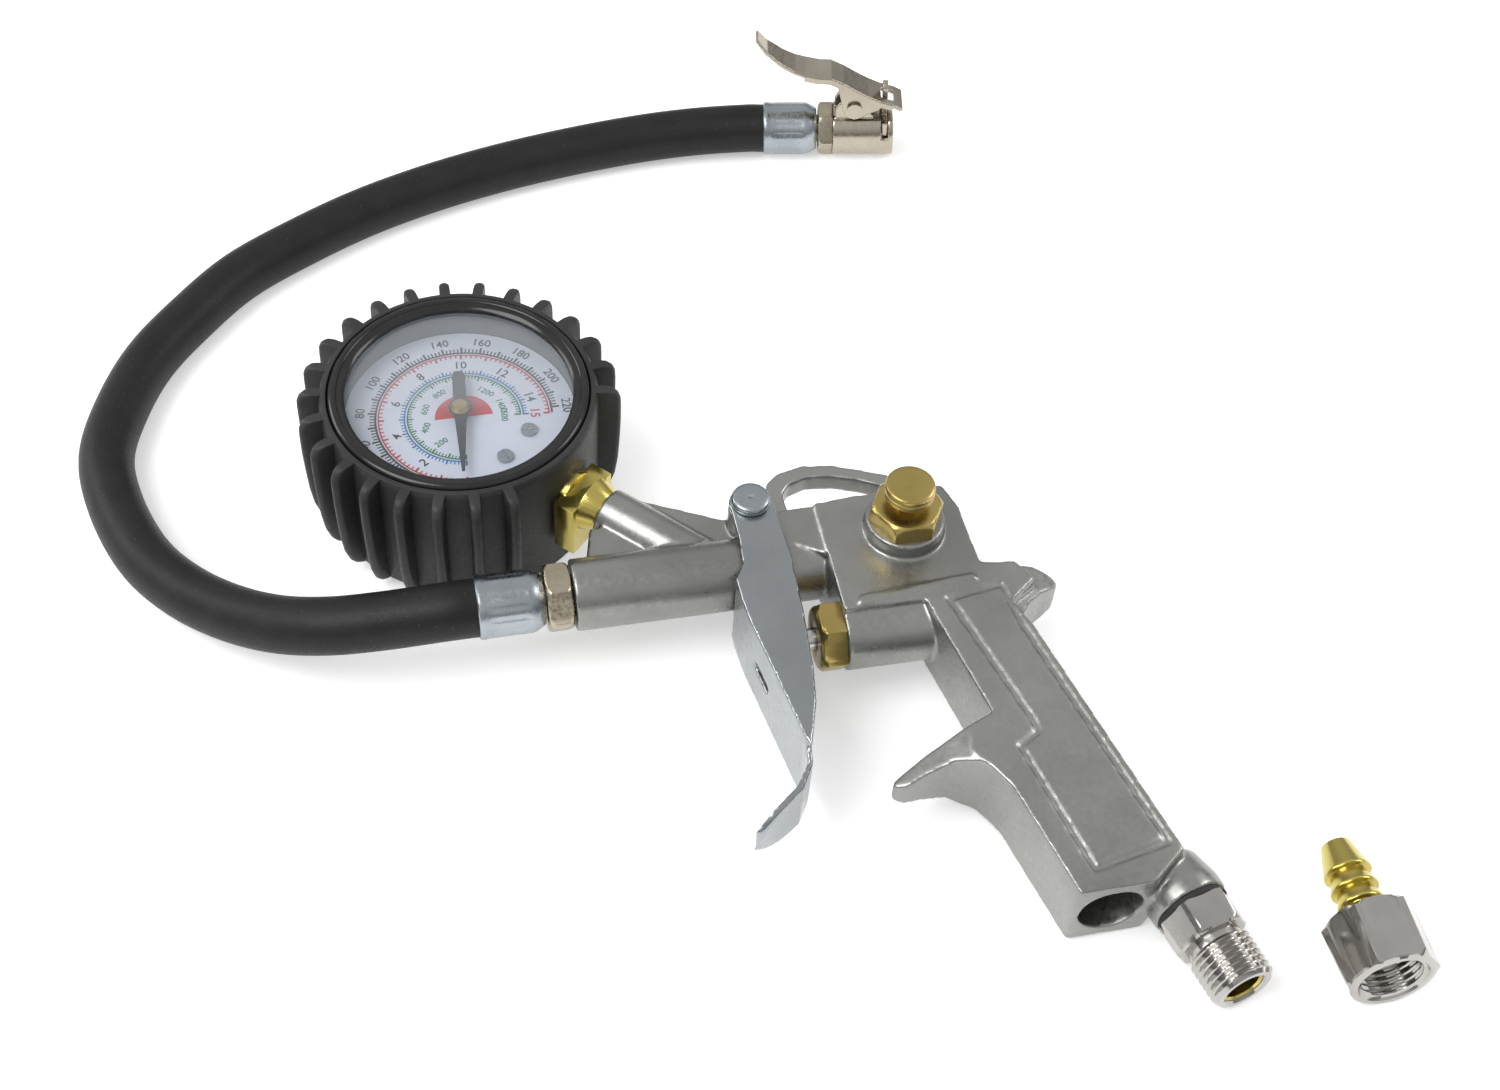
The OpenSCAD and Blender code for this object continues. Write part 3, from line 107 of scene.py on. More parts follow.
# %% [markdown]
# ## Camera, light and floor
# A 52.8 mm lens on a 36 mm sensor looks down at about 49 degrees. The floor is a white diffuse
# sheet; what the eye sees of it gets a little glow of its own, so that the paper reads white and
# the soft shadow stays. Large soft lamps and a pale world keep colours close to as they are
# written, and a darker band near the horizon gives the bright metal something to reflect.

# %% Camera
camera = bpy.data.objects.new("camera", bpy.data.cameras.new("camera"))
bpy.context.scene.collection.objects.link(camera)
camera.location = (-0.0725, -0.283603, 0.3735)
camera.rotation_euler = (math.radians(41.4), 0, math.radians(-11.85))
camera.data.lens, camera.data.sensor_width = 52.8, 36
camera.data.clip_start = 0.01
bpy.context.scene.camera = camera
bpy.context.scene.view_settings.view_transform = "Standard"


# %% Node helpers
def nodes_of(material):
    """The material's node tree, emptied, with a helper to add nodes."""
    material.use_nodes = True
    tree = material.node_tree
    tree.nodes.clear()

    def add(kind, **values):
        node = tree.nodes.new(kind)
        for key, value in values.items():
            if key in node.inputs:
                node.inputs[key].default_value = value
            else:
                setattr(node, key, value)
        return node

    return tree, add


def seen(tree, add):
    """1 for camera, mirror and see-through rays, 0 for the rays that carry light."""
    path = add("ShaderNodeLightPath")
    a = add("ShaderNodeMath", operation="MAXIMUM")
    b = add("ShaderNodeMath", operation="MAXIMUM")
    tree.links.new(path.outputs["Is Camera Ray"], a.inputs[0])
    tree.links.new(path.outputs["Is Glossy Ray"], a.inputs[1])
    tree.links.new(a.outputs[0], b.inputs[0])
    tree.links.new(path.outputs["Is Transmission Ray"], b.inputs[1])
    return path, b.outputs[0]


# %% Floor, lamps and world
paper = bpy.data.materials.new("floor_paper")
tree, add = nodes_of(paper)
path, eye = seen(tree, add)
white = add("ShaderNodeBsdfDiffuse", Color=(0.86, 0.86, 0.86, 1))
glow = add("ShaderNodeEmission", Color=(1, 1, 1, 1))
gain = add("ShaderNodeMath", operation="MULTIPLY")
gain.inputs[1].default_value = 0.4
both = add("ShaderNodeAddShader")
out = add("ShaderNodeOutputMaterial")
tree.links.new(eye, gain.inputs[0])
tree.links.new(gain.outputs[0], glow.inputs["Strength"])
tree.links.new(white.outputs[0], both.inputs[0])
tree.links.new(glow.outputs[0], both.inputs[1])
tree.links.new(both.outputs[0], out.inputs[0])
sheet = bpy.data.meshes.new("floor")
sheet.from_pydata([(-3, -3, 0), (3, -3, 0), (3, 3, 0), (-3, 3, 0)], [], [(0, 1, 2, 3)])
sheet.materials.append(paper)
floor = bpy.data.objects.new("floor", sheet)
bpy.context.scene.collection.objects.link(floor)


def lamp(name, place, aim, size, power):
    """A square soft lamp at place, turned to face aim."""
    data = bpy.data.lights.new(name, "AREA")
    data.size, data.energy = size, power
    ob = bpy.data.objects.new(name, data)
    bpy.context.scene.collection.objects.link(ob)
    ob.location = place
    away = np.array(place, float) - np.array(aim, float)
    ob.rotation_euler = (math.acos(away[2] / np.linalg.norm(away)), 0,
                         math.atan2(away[1], away[0]) + math.pi / 2)
    return ob


lamp("overhead", (-0.55, -0.15, 0.85), (0, 0, 0), 0.6, 6)
lamp("side_fill", (-0.75, 0.5, 0.4), (0, 0, 0), 0.4, 1.8)
lamp("edge", (0.75, 0.1, 0.5), (0, 0, 0), 0.35, 1.6)
world = bpy.data.worlds.new("studio")
bpy.context.scene.world = world
tree, add = nodes_of(world)
path = add("ShaderNodeLightPath")
toward = add("ShaderNodeTexCoord")
split = add("ShaderNodeSeparateXYZ")
band = add("ShaderNodeValToRGB")
for at, grey in ((0.0, 0.75), (0.5, 0.22), (0.62, 0.5), (0.8, 0.95)):
    stop = band.color_ramp.elements[0] if at == 0 else band.color_ramp.elements.new(at)
    stop.position, stop.color = at, (grey, grey, grey * 1.01, 1)
band.color_ramp.elements[-1].color = (0.8, 0.8, 0.8, 1)
half = add("ShaderNodeMapRange")
half.inputs["From Min"].default_value = -1
back = add("ShaderNodeBackground")
plain = add("ShaderNodeBackground", Color=(1, 1, 1, 1), Strength=1)
pick = add("ShaderNodeMixShader")
out = add("ShaderNodeOutputWorld")
tree.links.new(toward.outputs["Generated"], split.inputs[0])
tree.links.new(split.outputs["Z"], half.inputs["Value"])
tree.links.new(half.outputs[0], band.inputs[0])
tree.links.new(band.outputs[0], back.inputs["Color"])
back.inputs["Strength"].default_value = 0.8
tree.links.new(path.outputs["Is Camera Ray"], pick.inputs[0])
tree.links.new(back.outputs[0], pick.inputs[1])
tree.links.new(plain.outputs[0], pick.inputs[2])
tree.links.new(pick.outputs[0], out.inputs[0])

# %% [markdown]
# ## Finishes
# Every finish is one recipe: a coarse noise moves the colour between two tones, a fine noise
# moves the roughness and lifts a slight bump, and the pattern sits on Object coordinates in
# metres, so a scale of 1000 gives grains about a millimetre across. The recipe is called with
# different numbers for cast metal, plating, brass, rubber and paint.


# %% The finish recipe
FINISH = {}


def finish(name, light, dark, rough, metal=1.0, coarse=60, fine=1200, bump=0.05, spread=0.12,
           speck=None, gloss=0.5):
    """Colour = mix(dark, light, coarse noise); roughness = rough +- spread x fine noise;
    height = fine noise x bump. speck adds small pale dots where a cell noise is low."""
    m = bpy.data.materials.new(name)
    tree, add = nodes_of(m)
    link = tree.links.new
    where = add("ShaderNodeTexCoord")
    big = add("ShaderNodeTexNoise", Scale=coarse, Detail=4.0)
    small = add("ShaderNodeTexNoise", Scale=fine, Detail=3.0)
    link(where.outputs["Object"], big.inputs["Vector"])
    link(where.outputs["Object"], small.inputs["Vector"])
    ramp = add("ShaderNodeValToRGB")
    ramp.color_ramp.elements[0].position, ramp.color_ramp.elements[1].position = 0.35, 0.62
    ramp.color_ramp.elements[0].color = (*dark, 1)
    ramp.color_ramp.elements[1].color = (*light, 1)
    link(big.outputs[0], ramp.inputs[0])
    colour = ramp.outputs[0]
    if speck:
        cell = add("ShaderNodeTexVoronoi", Scale=speck[1])
        link(where.outputs["Object"], cell.inputs["Vector"])
        near = add("ShaderNodeMath", operation="LESS_THAN")
        near.inputs[1].default_value = speck[2]
        link(cell.outputs["Distance"], near.inputs[0])
        mix = add("ShaderNodeMix", data_type="RGBA")
        link(near.outputs[0], mix.inputs[0])
        link(colour, mix.inputs[6])
        mix.inputs[7].default_value = (*speck[0], 1)
        colour = mix.outputs[2]
    skin = add("ShaderNodeBsdfPrincipled", Metallic=metal)
    skin.inputs["Specular IOR Level"].default_value = gloss
    link(colour, skin.inputs["Base Color"])
    span = add("ShaderNodeMapRange")
    span.inputs["From Min"].default_value, span.inputs["From Max"].default_value = 0.3, 0.7
    span.inputs["To Min"].default_value = max(0.02, rough - spread)
    span.inputs["To Max"].default_value = min(1.0, rough + spread)
    link(small.outputs[0], span.inputs["Value"])
    link(span.outputs[0], skin.inputs["Roughness"])
    lump = add("ShaderNodeBump", Strength=min(1.0, bump * 4), Distance=0.00002)
    link(small.outputs[0], lump.inputs["Height"])
    link(lump.outputs[0], skin.inputs["Normal"])
    end = add("ShaderNodeOutputMaterial")
    link(skin.outputs[0], end.inputs[0])
    FINISH[name] = m
    return m


finish("casting", (0.335, 0.335, 0.32), (0.25, 0.25, 0.238), 0.33, metal=0.9, coarse=38,
       fine=900, bump=0.07, spread=0.08)
finish("pressed_steel", (0.37, 0.39, 0.40), (0.32, 0.34, 0.35), 0.24, coarse=50, fine=600,
       bump=0.02, spread=0.05)
finish("zinc_plate", (0.38, 0.41, 0.435), (0.32, 0.35, 0.375), 0.30, coarse=120, fine=1500,
       bump=0.03, spread=0.08)
finish("spring_steel", (0.30, 0.30, 0.31), (0.2, 0.2, 0.21), 0.34, coarse=200)
finish("brass", (0.47, 0.36, 0.125), (0.42, 0.32, 0.105), 0.30, coarse=60, fine=900,
       bump=0.02, spread=0.03)
finish("bright_brass", (0.60, 0.50, 0.14), (0.55, 0.45, 0.12), 0.24, coarse=60, fine=900,
       bump=0.02, spread=0.03)
finish("steel", (0.56, 0.57, 0.58), (0.50, 0.51, 0.52), 0.22, coarse=120, bump=0.02)
finish("seal_rubber", (0.03, 0.03, 0.03), (0.02, 0.02, 0.02), 0.6, metal=0, coarse=200,
       gloss=0.3)
finish("chrome", (0.47, 0.455, 0.435), (0.41, 0.395, 0.375), 0.16, coarse=90, fine=900,
       bump=0.01, spread=0.04)
finish("nickel_brass", (0.47, 0.42, 0.32), (0.38, 0.335, 0.25), 0.28, coarse=120, bump=0.02)
finish("hose_rubber", (0.013, 0.0125, 0.012), (0.009, 0.009, 0.009), 0.50, metal=0,
       coarse=160, fine=2600, bump=0.10, spread=0.1, speck=((0.10, 0.10, 0.10), 620, 0.06),
       gloss=0.28)
finish("nickel", (0.45, 0.41, 0.335), (0.39, 0.35, 0.285), 0.24, coarse=80, fine=1100,
       bump=0.02, spread=0.06)
finish("boot_rubber", (0.036, 0.035, 0.034), (0.022, 0.022, 0.022), 0.48, metal=0,
       coarse=70, fine=2200, bump=0.12, spread=0.12, gloss=0.32)
finish("black_steel", (0.16, 0.16, 0.155), (0.11, 0.11, 0.108), 0.42, metal=0.3, coarse=80,
       bump=0.02)
finish("bezel_plastic", (0.014, 0.014, 0.014), (0.009, 0.009, 0.009), 0.16, metal=0,
       coarse=120, fine=500, bump=0.01, spread=0.05, gloss=0.45)
finish("dial_paint", (0.62, 0.66, 0.76), (0.585, 0.63, 0.735), 0.38, metal=0, coarse=30,
       fine=1500, bump=0.01, spread=0.04)
finish("pointer_paint", (0.03, 0.031, 0.034), (0.02, 0.021, 0.024), 0.42, metal=0,
       coarse=200, bump=0.02)
print("finishes", len(FINISH))

# %% [markdown]
# ## The gauge's glass
# A clear sheet hides little of what lies under it and mirrors more at a grazing angle. A
# see-through skin whose cover follows Fresnel's rule does this without making the lamp's light
# find its way through a solid block of glass, so the dial below stays evenly lit.

# %% Glass finish
glass = bpy.data.materials.new("lens")
tree, add = nodes_of(glass)
edge = add("ShaderNodeFresnel", IOR=1.48)
cloud = add("ShaderNodeTexNoise", Scale=150.0, Detail=3.0)
where = add("ShaderNodeTexCoord")
haze = add("ShaderNodeMath", operation="MULTIPLY_ADD")
haze.inputs[1].default_value, haze.inputs[2].default_value = 0.02, 0.0
cover = add("ShaderNodeMath", operation="MULTIPLY_ADD", use_clamp=True)
cover.inputs[1].default_value = 0.35
skin = add("ShaderNodeBsdfPrincipled", Metallic=0.0, Roughness=0.08)
skin.inputs["Base Color"].default_value = (0.5, 0.53, 0.56, 1)
end = add("ShaderNodeOutputMaterial")
tree.links.new(where.outputs["Object"], cloud.inputs["Vector"])
tree.links.new(cloud.outputs[0], haze.inputs[0])
tree.links.new(edge.outputs[0], cover.inputs[0])
tree.links.new(haze.outputs[0], cover.inputs[2])
tree.links.new(cover.outputs[0], skin.inputs["Alpha"])
tree.links.new(skin.outputs[0], end.inputs[0])
FINISH["lens"] = glass

# %% Finish every carried-over solid
slot_of = {p["node"]: p["material_slot"] for p in frame["record"]["subparts"]}
for node, ob in frame["nodes"].items():
    ob.data.materials.clear()
    ob.data.materials.append(FINISH[slot_of[node]])
print("solids finished", len(slot_of))

# %% [markdown]
# ## Making surfaces
# Two helpers make nearly all new pieces. `grid` turns a two-parameter array of points into a
# mesh: the four corners of each face are index arrays, so nothing is looped. `turned` is a
# lathe: a closed outline of (distance along the axis, radius, hexagon width) is carried round,
# and where a hexagon is given the radius is the smaller of the round and the six-sided one,
# which also gives the curved chamfer that a real nut shows on its corners.


# %% Grid and lathe
def keep(name, mesh, slot, body, nodes=(), smooth=32, bevel=0.0):
    """Links the mesh as an object, gives it its finish and its body, and hides the nodes it
    stands for.
    """
    ob = bpy.data.objects.new(name, mesh)
    bpy.context.scene.collection.objects.link(ob)
    mesh.materials.clear()
    mesh.materials.append(FINISH[slot])
    if bevel:
        mod = ob.modifiers.new("edge", "BEVEL")
        mod.width, mod.segments, mod.angle_limit = bevel * MM, 2, math.radians(32)
        bpy.context.view_layer.update()
        done = bpy.data.meshes.new_from_object(
            ob.evaluated_get(bpy.context.evaluated_depsgraph_get()))
        ob.modifiers.clear()
        ob.data = done
    ob.data.polygons.foreach_set("use_smooth", [True] * len(ob.data.polygons))
    ob.data.set_sharp_from_angle(angle=math.radians(smooth))
    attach(ob, body)
    if nodes:
        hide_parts(*nodes)
    return ob


def outward(mesh):
    """Turns every face of a closed mesh so that it faces outwards."""
    work = bmesh.new()
    work.from_mesh(mesh)
    bmesh.ops.recalc_face_normals(work, faces=work.faces)
    work.to_mesh(mesh)
    work.free()


def grid(name, points, ring_u=True, ring_v=True, caps=False):
    """points[u, v] joined to its neighbours; a ring wraps round, caps fan to the end rows'
    middles. Faces are turned to point outwards."""
    points = np.asarray(points, float)
    u, v = points.shape[:2]
    at = np.arange(u * v).reshape(u, v)
    a = at if ring_u else at[:-1]
    b = np.roll(at, -1, 0) if ring_u else at[1:]
    a2, b2 = np.roll(a, -1, 1), np.roll(b, -1, 1)
    if not ring_v:
        a, b, a2, b2 = a[:, :-1], b[:, :-1], a2[:, :-1], b2[:, :-1]
    faces = np.stack([a, b, b2, a2], -1).reshape(-1, 4).tolist()
    flat = points.reshape(-1, 3)
    if caps:
        flat = np.vstack([flat, points[0].mean(0), points[-1].mean(0)])
        n = u * v
        first, last = at[0], at[-1]
        faces += np.stack([first, np.roll(first, -1), np.full(v, n)], -1).tolist()
        faces += np.stack([np.roll(last, -1), last, np.full(v, n + 1)], -1).tolist()
    mesh = bpy.data.meshes.new(name)
    mesh.from_pydata(flat.tolist(), [], faces)
    outward(mesh)
    mesh.update()
    return mesh


def lathe_points(rows, columns=96, upright=False, thread=None, crimp=None):
    """Radius = min(round radius, width / 2 / cos(angle to the nearest flat)).
    thread = (start, end, pitch, depth): radius moves by depth x a triangle wave of
    (distance / pitch - angle / turn). crimp = (start, end, count, depth): shallow flats."""
    x, r, af = np.array([(*q, 0)[:3] for q in rows], float).T
    turn = np.arange(columns) * 2 * np.pi / columns
    width = np.where(af > 0, af / 2, 1e3)[:, None]
    radius = np.minimum(r[:, None], width / np.cos(turn % (np.pi / 3) - np.pi / 6)[None])
    if thread:
        start, end, pitch, depth = thread
        wave = np.abs(((x[:, None] / pitch - turn[None] / (2 * np.pi)) % 1) - 0.5) * 2
        inside = ((x >= start) & (x <= end))[:, None]
        radius = radius - inside * depth * np.clip(wave * 1.3 - 0.15, 0, 1)
    if crimp:
        start, end, count, depth = crimp
        ease = np.clip(np.minimum(x - start, end - x) / 1.2, 0, 1)[:, None]
        radius = radius - ease * depth * np.abs(np.cos(turn * count / 2))[None] ** 6
    along = x[:, None] + 0 * radius
    c, s = radius * np.cos(turn), radius * np.sin(turn)
    return np.stack([c, s, along] if upright else [along, c, s], -1)


def turned(name, place, rows, slot, body, nodes=(), bevel=0.12, **options):
    """A lathe piece: its outline runs outside and comes back along the bore, so it is closed."""
    mesh = grid(name, place(lathe_points(rows, **options)))
    return keep(name, mesh, slot, body, nodes, bevel=bevel)


# %% [markdown]
# ## The hose
# The hose is a stiff rubber air line, 12.5 mm thick. It leaves the ferrule on the barrel, comes
# down to the table in a wide bend and lies on it up to the chuck. Its centreline is a smooth
# curve through the route's points, each stretch being a cubic that shares its slope with the
# next, and the tube is a circle carried along it, square to the curve at each step.

# %% Hose route
HOSE_R = 6.25
route = np.array([[-80, 1, 17.4], [-92, 3.6, 15.6], [-103, 9, 12.8], [-113.5, 17.5, 9.8],
                  [-123, 28, 7.6], [-130.5, 40, 6.5], [-136, 56, 6.3], [-138, 72, 6.3],
                  [-134.3, 87.4, 6.3], [-127.4, 102.6, 6.3], [-117.3, 115.8, 6.3],
                  [-104.5, 129, 6.3], [-88.5, 139, 6.3], [-71.5, 147.4, 6.3],
                  [-53.5, 153.6, 6.3], [-35, 158, 6.3], [-16, 160.9, 6.3], [2, 162.3, 6.4],
                  [17, 161.9, 6.7]]) - [BED[0], BED[1], 0]
start = barrel([[FERRULE_X - 2.7, 0, 0], [FERRULE_X - 14, 0, 0], [FERRULE_X - 20, 0, 0]])
finish_line = chuck([[-5, 0, 0], [0, 0, 0], [11.3, 0, 0]])
knots = np.vstack([start, table(route), finish_line])
t = np.linspace(0, 1, 6, endpoint=False)[:, None]
a, b, c, d = (np.vstack([knots[:1], knots, knots[-1:]])[i:i + len(knots) - 1, None]
              for i in range(4))
line = 0.5 * (2 * b + (c - a) * t + (2 * a - 5 * b + 4 * c - d) * t ** 2
              + (3 * b - a - 3 * c + d) * t ** 3)
line = np.vstack([line.reshape(-1, 3), knots[-1:]])


# %% Hose tube
def tube(points, radius, sides=40):
    """Point = line + radius x (cos t side + sin t up), with side = Z x direction."""
    ahead = np.gradient(points, axis=0)
    ahead /= np.linalg.norm(ahead, axis=1)[:, None]
    side = np.cross([0, 0, 1.0], ahead)
    side /= np.linalg.norm(side, axis=1)[:, None]
    up = np.cross(ahead, side)
    turn = np.arange(sides) * 2 * np.pi / sides
    return points[:, None] + radius * (np.cos(turn)[None, :, None] * side[:, None]
                                       + np.sin(turn)[None, :, None] * up[:, None])


hose = keep("hose_tube", grid("hose_tube", tube(line, HOSE_R * MM), ring_u=False, caps=True),
            "hose_rubber", "gun", ["hose"])

# %% [markdown]
# ## Crimped ferrules
# A ferrule is a short plated sleeve pressed on the hose's end by a ring of jaws. The lathe gives
# the sleeve, its rolled rim and its sloping shoulder, and a shallow ripple round it gives the
# marks that the jaws leave.

# %% Ferrules
sleeve = [(-14, 6.27), (-14, 6.6), (-13.75, 6.85), (-13.4, 6.92), (-12.7, 6.92), (-12.4, 6.8)]
sleeve += [(x, 6.78) for x in np.linspace(-12, -3, 19)]
sleeve += [(-2.4, 6.7), (-1.2, 6.1), (-0.2, 5.5), (0, 5.3), (0, 3.62), (-2.7, 3.62),
           (-2.7, 6.27)]
crimps = (-12, -3, 16, 0.16)
turned("ferrule_at_gun", spot((FERRULE_X, AXIS_Y, 0), 0), sleeve, "zinc_plate", "gun",
       ["ferrule_gun"], bevel=0, crimp=crimps)
dx = FERRULE_LEN * np.array([math.cos(math.radians(CHUCK_HEADING)),
                             math.sin(math.radians(CHUCK_HEADING)), 0])
end_sleeve = turned("ferrule_at_chuck", spot(np.array(chuck_at) + dx, CHUCK_HEADING, table),
                    sleeve, "zinc_plate", "gun", ["ferrule_chuck"], bevel=0, crimp=crimps)

# %% [markdown]
# ## Castings and pressings
# The gun's casting, the bent sheet of the trigger and the small chuck parts have rounded edges
# all over, which no single bevel finds on loose triangles. A copy of the solid is merged, made
# again as an even skin of small squares, and smoothed a few times: flats stay flat, and every
# edge gets the soft radius that a die or a press leaves.


# %% Skin over a solid
def skinned(name, node, slot, body, cell, rounds, keep_share=1.0):
    """Copy of the solid, remeshed at the cell size in millimetres and smoothed in rounds."""
    mesh = frame["nodes"][node].data.copy()
    work = bmesh.new()
    work.from_mesh(mesh)
    bmesh.ops.remove_doubles(work, verts=work.verts, dist=1e-6)
    work.to_mesh(mesh)
    work.free()
    ob = bpy.data.objects.new(name, mesh)
    bpy.context.scene.collection.objects.link(ob)
    even = ob.modifiers.new("even", "REMESH")
    even.mode, even.voxel_size = "VOXEL", cell * MM
    soft = ob.modifiers.new("soft", "SMOOTH")
    soft.factor, soft.iterations = 0.5, rounds
    if keep_share < 1:
        thin = ob.modifiers.new("thin", "DECIMATE")
        thin.ratio = keep_share
    bpy.context.view_layer.update()
    done = bpy.data.meshes.new_from_object(
        ob.evaluated_get(bpy.context.evaluated_depsgraph_get()))
    bpy.data.objects.remove(ob)
    ob = keep(name, done, slot, body, [node], smooth=60)
    print(name, "faces", len(done.polygons))
    return ob


skinned("casting", "gun_body", "casting", "gun", 0.36, 16, keep_share=0.3)
skinned("trigger_pressing", "trigger", "pressed_steel", "trigger", 0.34, 12)
grip_clip = skinned("chuck_barrel", "chuck_body", "nickel", "gun", 0.26, 4)
thumb = skinned("chuck_thumb_lever", "chuck_lever", "nickel", "lever", 0.2, 12)
plate = skinned("chuck_jaw_plate", "chuck_jaw", "nickel", "jaw", 0.2, 3)


# %% Crisp milled brass
def milled(name, node, slot, body, width):
    """Copy of the solid with its flat faces joined up again, then a small even bevel."""
    mesh = frame["nodes"][node].data.copy()
    work = bmesh.new()
    work.from_mesh(mesh)
    bmesh.ops.remove_doubles(work, verts=work.verts, dist=1e-6)
    bmesh.ops.dissolve_limit(work, angle_limit=math.radians(1), verts=work.verts,
                             edges=work.edges)
    work.to_mesh(mesh)
    work.free()
    return keep(name, mesh, slot, body, [node], bevel=width)


block = milled("stem_square", "gauge_stem", "brass", "gun", 0.35)
block.data.materials[0] = FINISH["bright_brass"]

# %% [markdown]
# ## Pivot pin, gland and bleed valve
# The trigger turns on a plated pin with a low round head. Under it the air valve's push rod
# comes out of a brass hexagon. On the block a brass button with a domed edge sits over its own
# chamfered nut. All of them are turned or milled from bar, so all of them come off the lathe.

# %% Pin, gland, nut and button
turned("pivot_pin", pivot,
       [(-10, 2.4), (10.2, 2.4), (10.2, 4.1), (10.4, 4.2), (11.3, 4.2), (11.8, 3.9), (12.1, 3.2),
        (12.15, 0.8), (12.0, 0.5), (11.9, 0.02), (-10, 0.02)],
       "zinc_plate", "gun", ["trigger_pin"], upright=True, columns=64)
turned("gland_hexagon", valve,
       [(8, 2.46), (8, 6.3, 13.5), (8.5, 6.9, 13.5), (9.3, 7.8, 13.5), (13.48, 7.8, 13.5),
        (13.48, 5.18), (19, 5.18), (19, 2.46)], "brass", "gun", ["valve_gland"])
turned("bleed_hexagon", bleed,
       [(12.82, 7.7, 14), (12.82, 8.09, 14), (15.9, 8.09, 14), (16.7, 7.5, 14), (17.2, 6.8, 14),
        (17.2, 2.16), (3.2, 2.16), (4.2, 3.98), (12.82, 3.98)],
       "brass", "gun", ["bleed_nut"], upright=True)
turned("bleed_cap", bleed,
       [(0.9, 0.02), (0.9, 3.4), (2.9, 3.4), (2.9, 2.1), (20.1, 2.1), (20.1, 4.9), (20.3, 5.2),
        (20.6, 5.3), (21.7, 5.3), (21.8, 5.15), (21.95, 5.15), (22.05, 5.3), (22.9, 5.3),
        (23.3, 5.1), (23.5, 4.7), (23.52, 3.2), (23.4, 2.6), (23.4, 0.02)],
       "brass", "bleed", ["bleed_button"], upright=True, columns=80)

# %% [markdown]
# ## Threads
# The inlet nipple is chromed, with a hexagon and a short G1/4 thread, and the loose adaptor's
# nut has the same thread inside. A thread is a triangle wave that moves round with the lathe's
# angle, one turn per pitch of 1.337 mm, so the ridge is a true helix.

# %% Nipple and nut
PITCH = 1.337
crest = [(x, 6.58) for x in np.arange(9.9, 18.3, PITCH / 8)]
turned("inlet_nipple_chromed", inlet,
       [(-7, 4.2), (-7, 5.58), (1.02, 5.58), (1.02, 7.7, 14), (1.3, 8.1, 14), (6.9, 8.1, 14),
        (7.6, 7.6, 14), (8.02, 6.9, 14), (8.02, 5.7), (9.6, 5.7)] + crest
       + [(18.35, 6.3), (19.12, 5.7), (19.12, 4.6), (18.7, 4.2)],
       "chrome", "gun", ["inlet_nipple"], bevel=0, thread=(9.7, 18.32, PITCH, 0.75),
       columns=144)
inner = [(x, 6.63) for x in np.arange(13.3, 5.9, -PITCH / 8)]
turned("adaptor_nut", adaptor,
       [(0, 3.68), (0, 8.0, 17), (0.35, 8.6, 17), (1.3, 9.81, 17), (12.7, 9.81, 17),
        (13.65, 8.6, 17), (14, 8.0, 17), (14, 7.1), (13.5, 6.75)] + inner
       + [(5.7, 5.3), (3.0, 5.3), (3.0, 3.68)],
       "chrome", "adaptor_nut", ["swivel_nut"], bevel=0, thread=(5.8, 13.4, PITCH, 0.62),
       columns=144)

# %% [markdown]
# ## The barbed tail
# The tail is brass. Its first barb is a long cone for starting the hose, two short ones follow,
# and its flange is caught inside the nut so that the nut can spin.

# %% Barbed tail
barbs = [(-16.9, 2.0), (-16.9, 2.8), (-16.7, 3.1), (-10.55, 4.72), (-10.4, 4.8), (-9.9, 4.8),
         (-9.85, 3.7), (-9.0, 3.8), (-6.7, 4.75), (-6.6, 4.8), (-6.1, 4.8), (-6.05, 3.7),
         (-5.4, 3.8), (-3.1, 4.75), (-3, 4.8), (-2.5, 4.8), (-2.45, 3.6), (2.4, 3.6), (2.4, 5),
         (3.9, 5), (3.95, 4.7), (5.4, 3.2), (5.4, 2.0)]
tail = turned("barbed_tail", adaptor, barbs, "brass", "adaptor_tail", ["barb_tail"], bevel=0.06)
tail.data.materials[0] = FINISH["bright_brass"]

# %% [markdown]
# ## Couplings of the hose
# Each end of the hose has a fitting with a barb inside the rubber and a hexagon outside the
# ferrule. The one on the chuck is darker than the one on the barrel, but both get the same
# nickelled-brass finish here.

# %% Couplings
turned("nipple_sleeve", inlet, [(3, 3.5), (3, 4.18), (18.2, 4.18), (18.6, 4.1), (18.6, 3.8),
                                (18.2, 3.5)], "brass", "gun",
       bevel=0).data.materials[0] = FINISH["bright_brass"]
turned("barrel_coupling", barrel,
       [(-59.4, 2.1), (-59.4, 3.1), (-46.98, 3.1), (-46.98, 3.6), (-46, 3.6), (-46, 6.6, 13.5),
        (-45.7, 7.2, 13.5), (-45, 7.79, 13.5), (-41.6, 7.79, 13.5), (-40.9, 7.2, 13.5),
        (-40.6, 6.7, 13.5), (-40.6, 4.58), (-30.6, 4.58), (-30.6, 2.1)],
       "nickel_brass", "gun", ["hose_coupling"])
hexagon = turned("chuck_hexagon", chuck,
                 [(1, 1.6), (1, 3.1), (13.4, 3.1), (13.4, 3.6), (14.4, 3.6), (14.4, 6.0, 12),
                  (14.7, 6.5, 12), (15.2, 6.92, 12), (18.2, 6.92, 12), (18.2, 3.6),
                  (22.2, 3.6), (22.2, 1.6)], "nickel_brass", "gun", ["chuck_coupling"])

# %% [markdown]
# ## The boot
# The boot is one moulding: a ring round the case, and fins that stand out from it like the
# teeth of a gear and protect the glass. A fin is a rounded section, worked out as half a circle
# on the end of a slab, carried from the foot to the top along a curved edge line, and all the
# fins are one array turned by their own angles. The stem comes out where a few are left out.

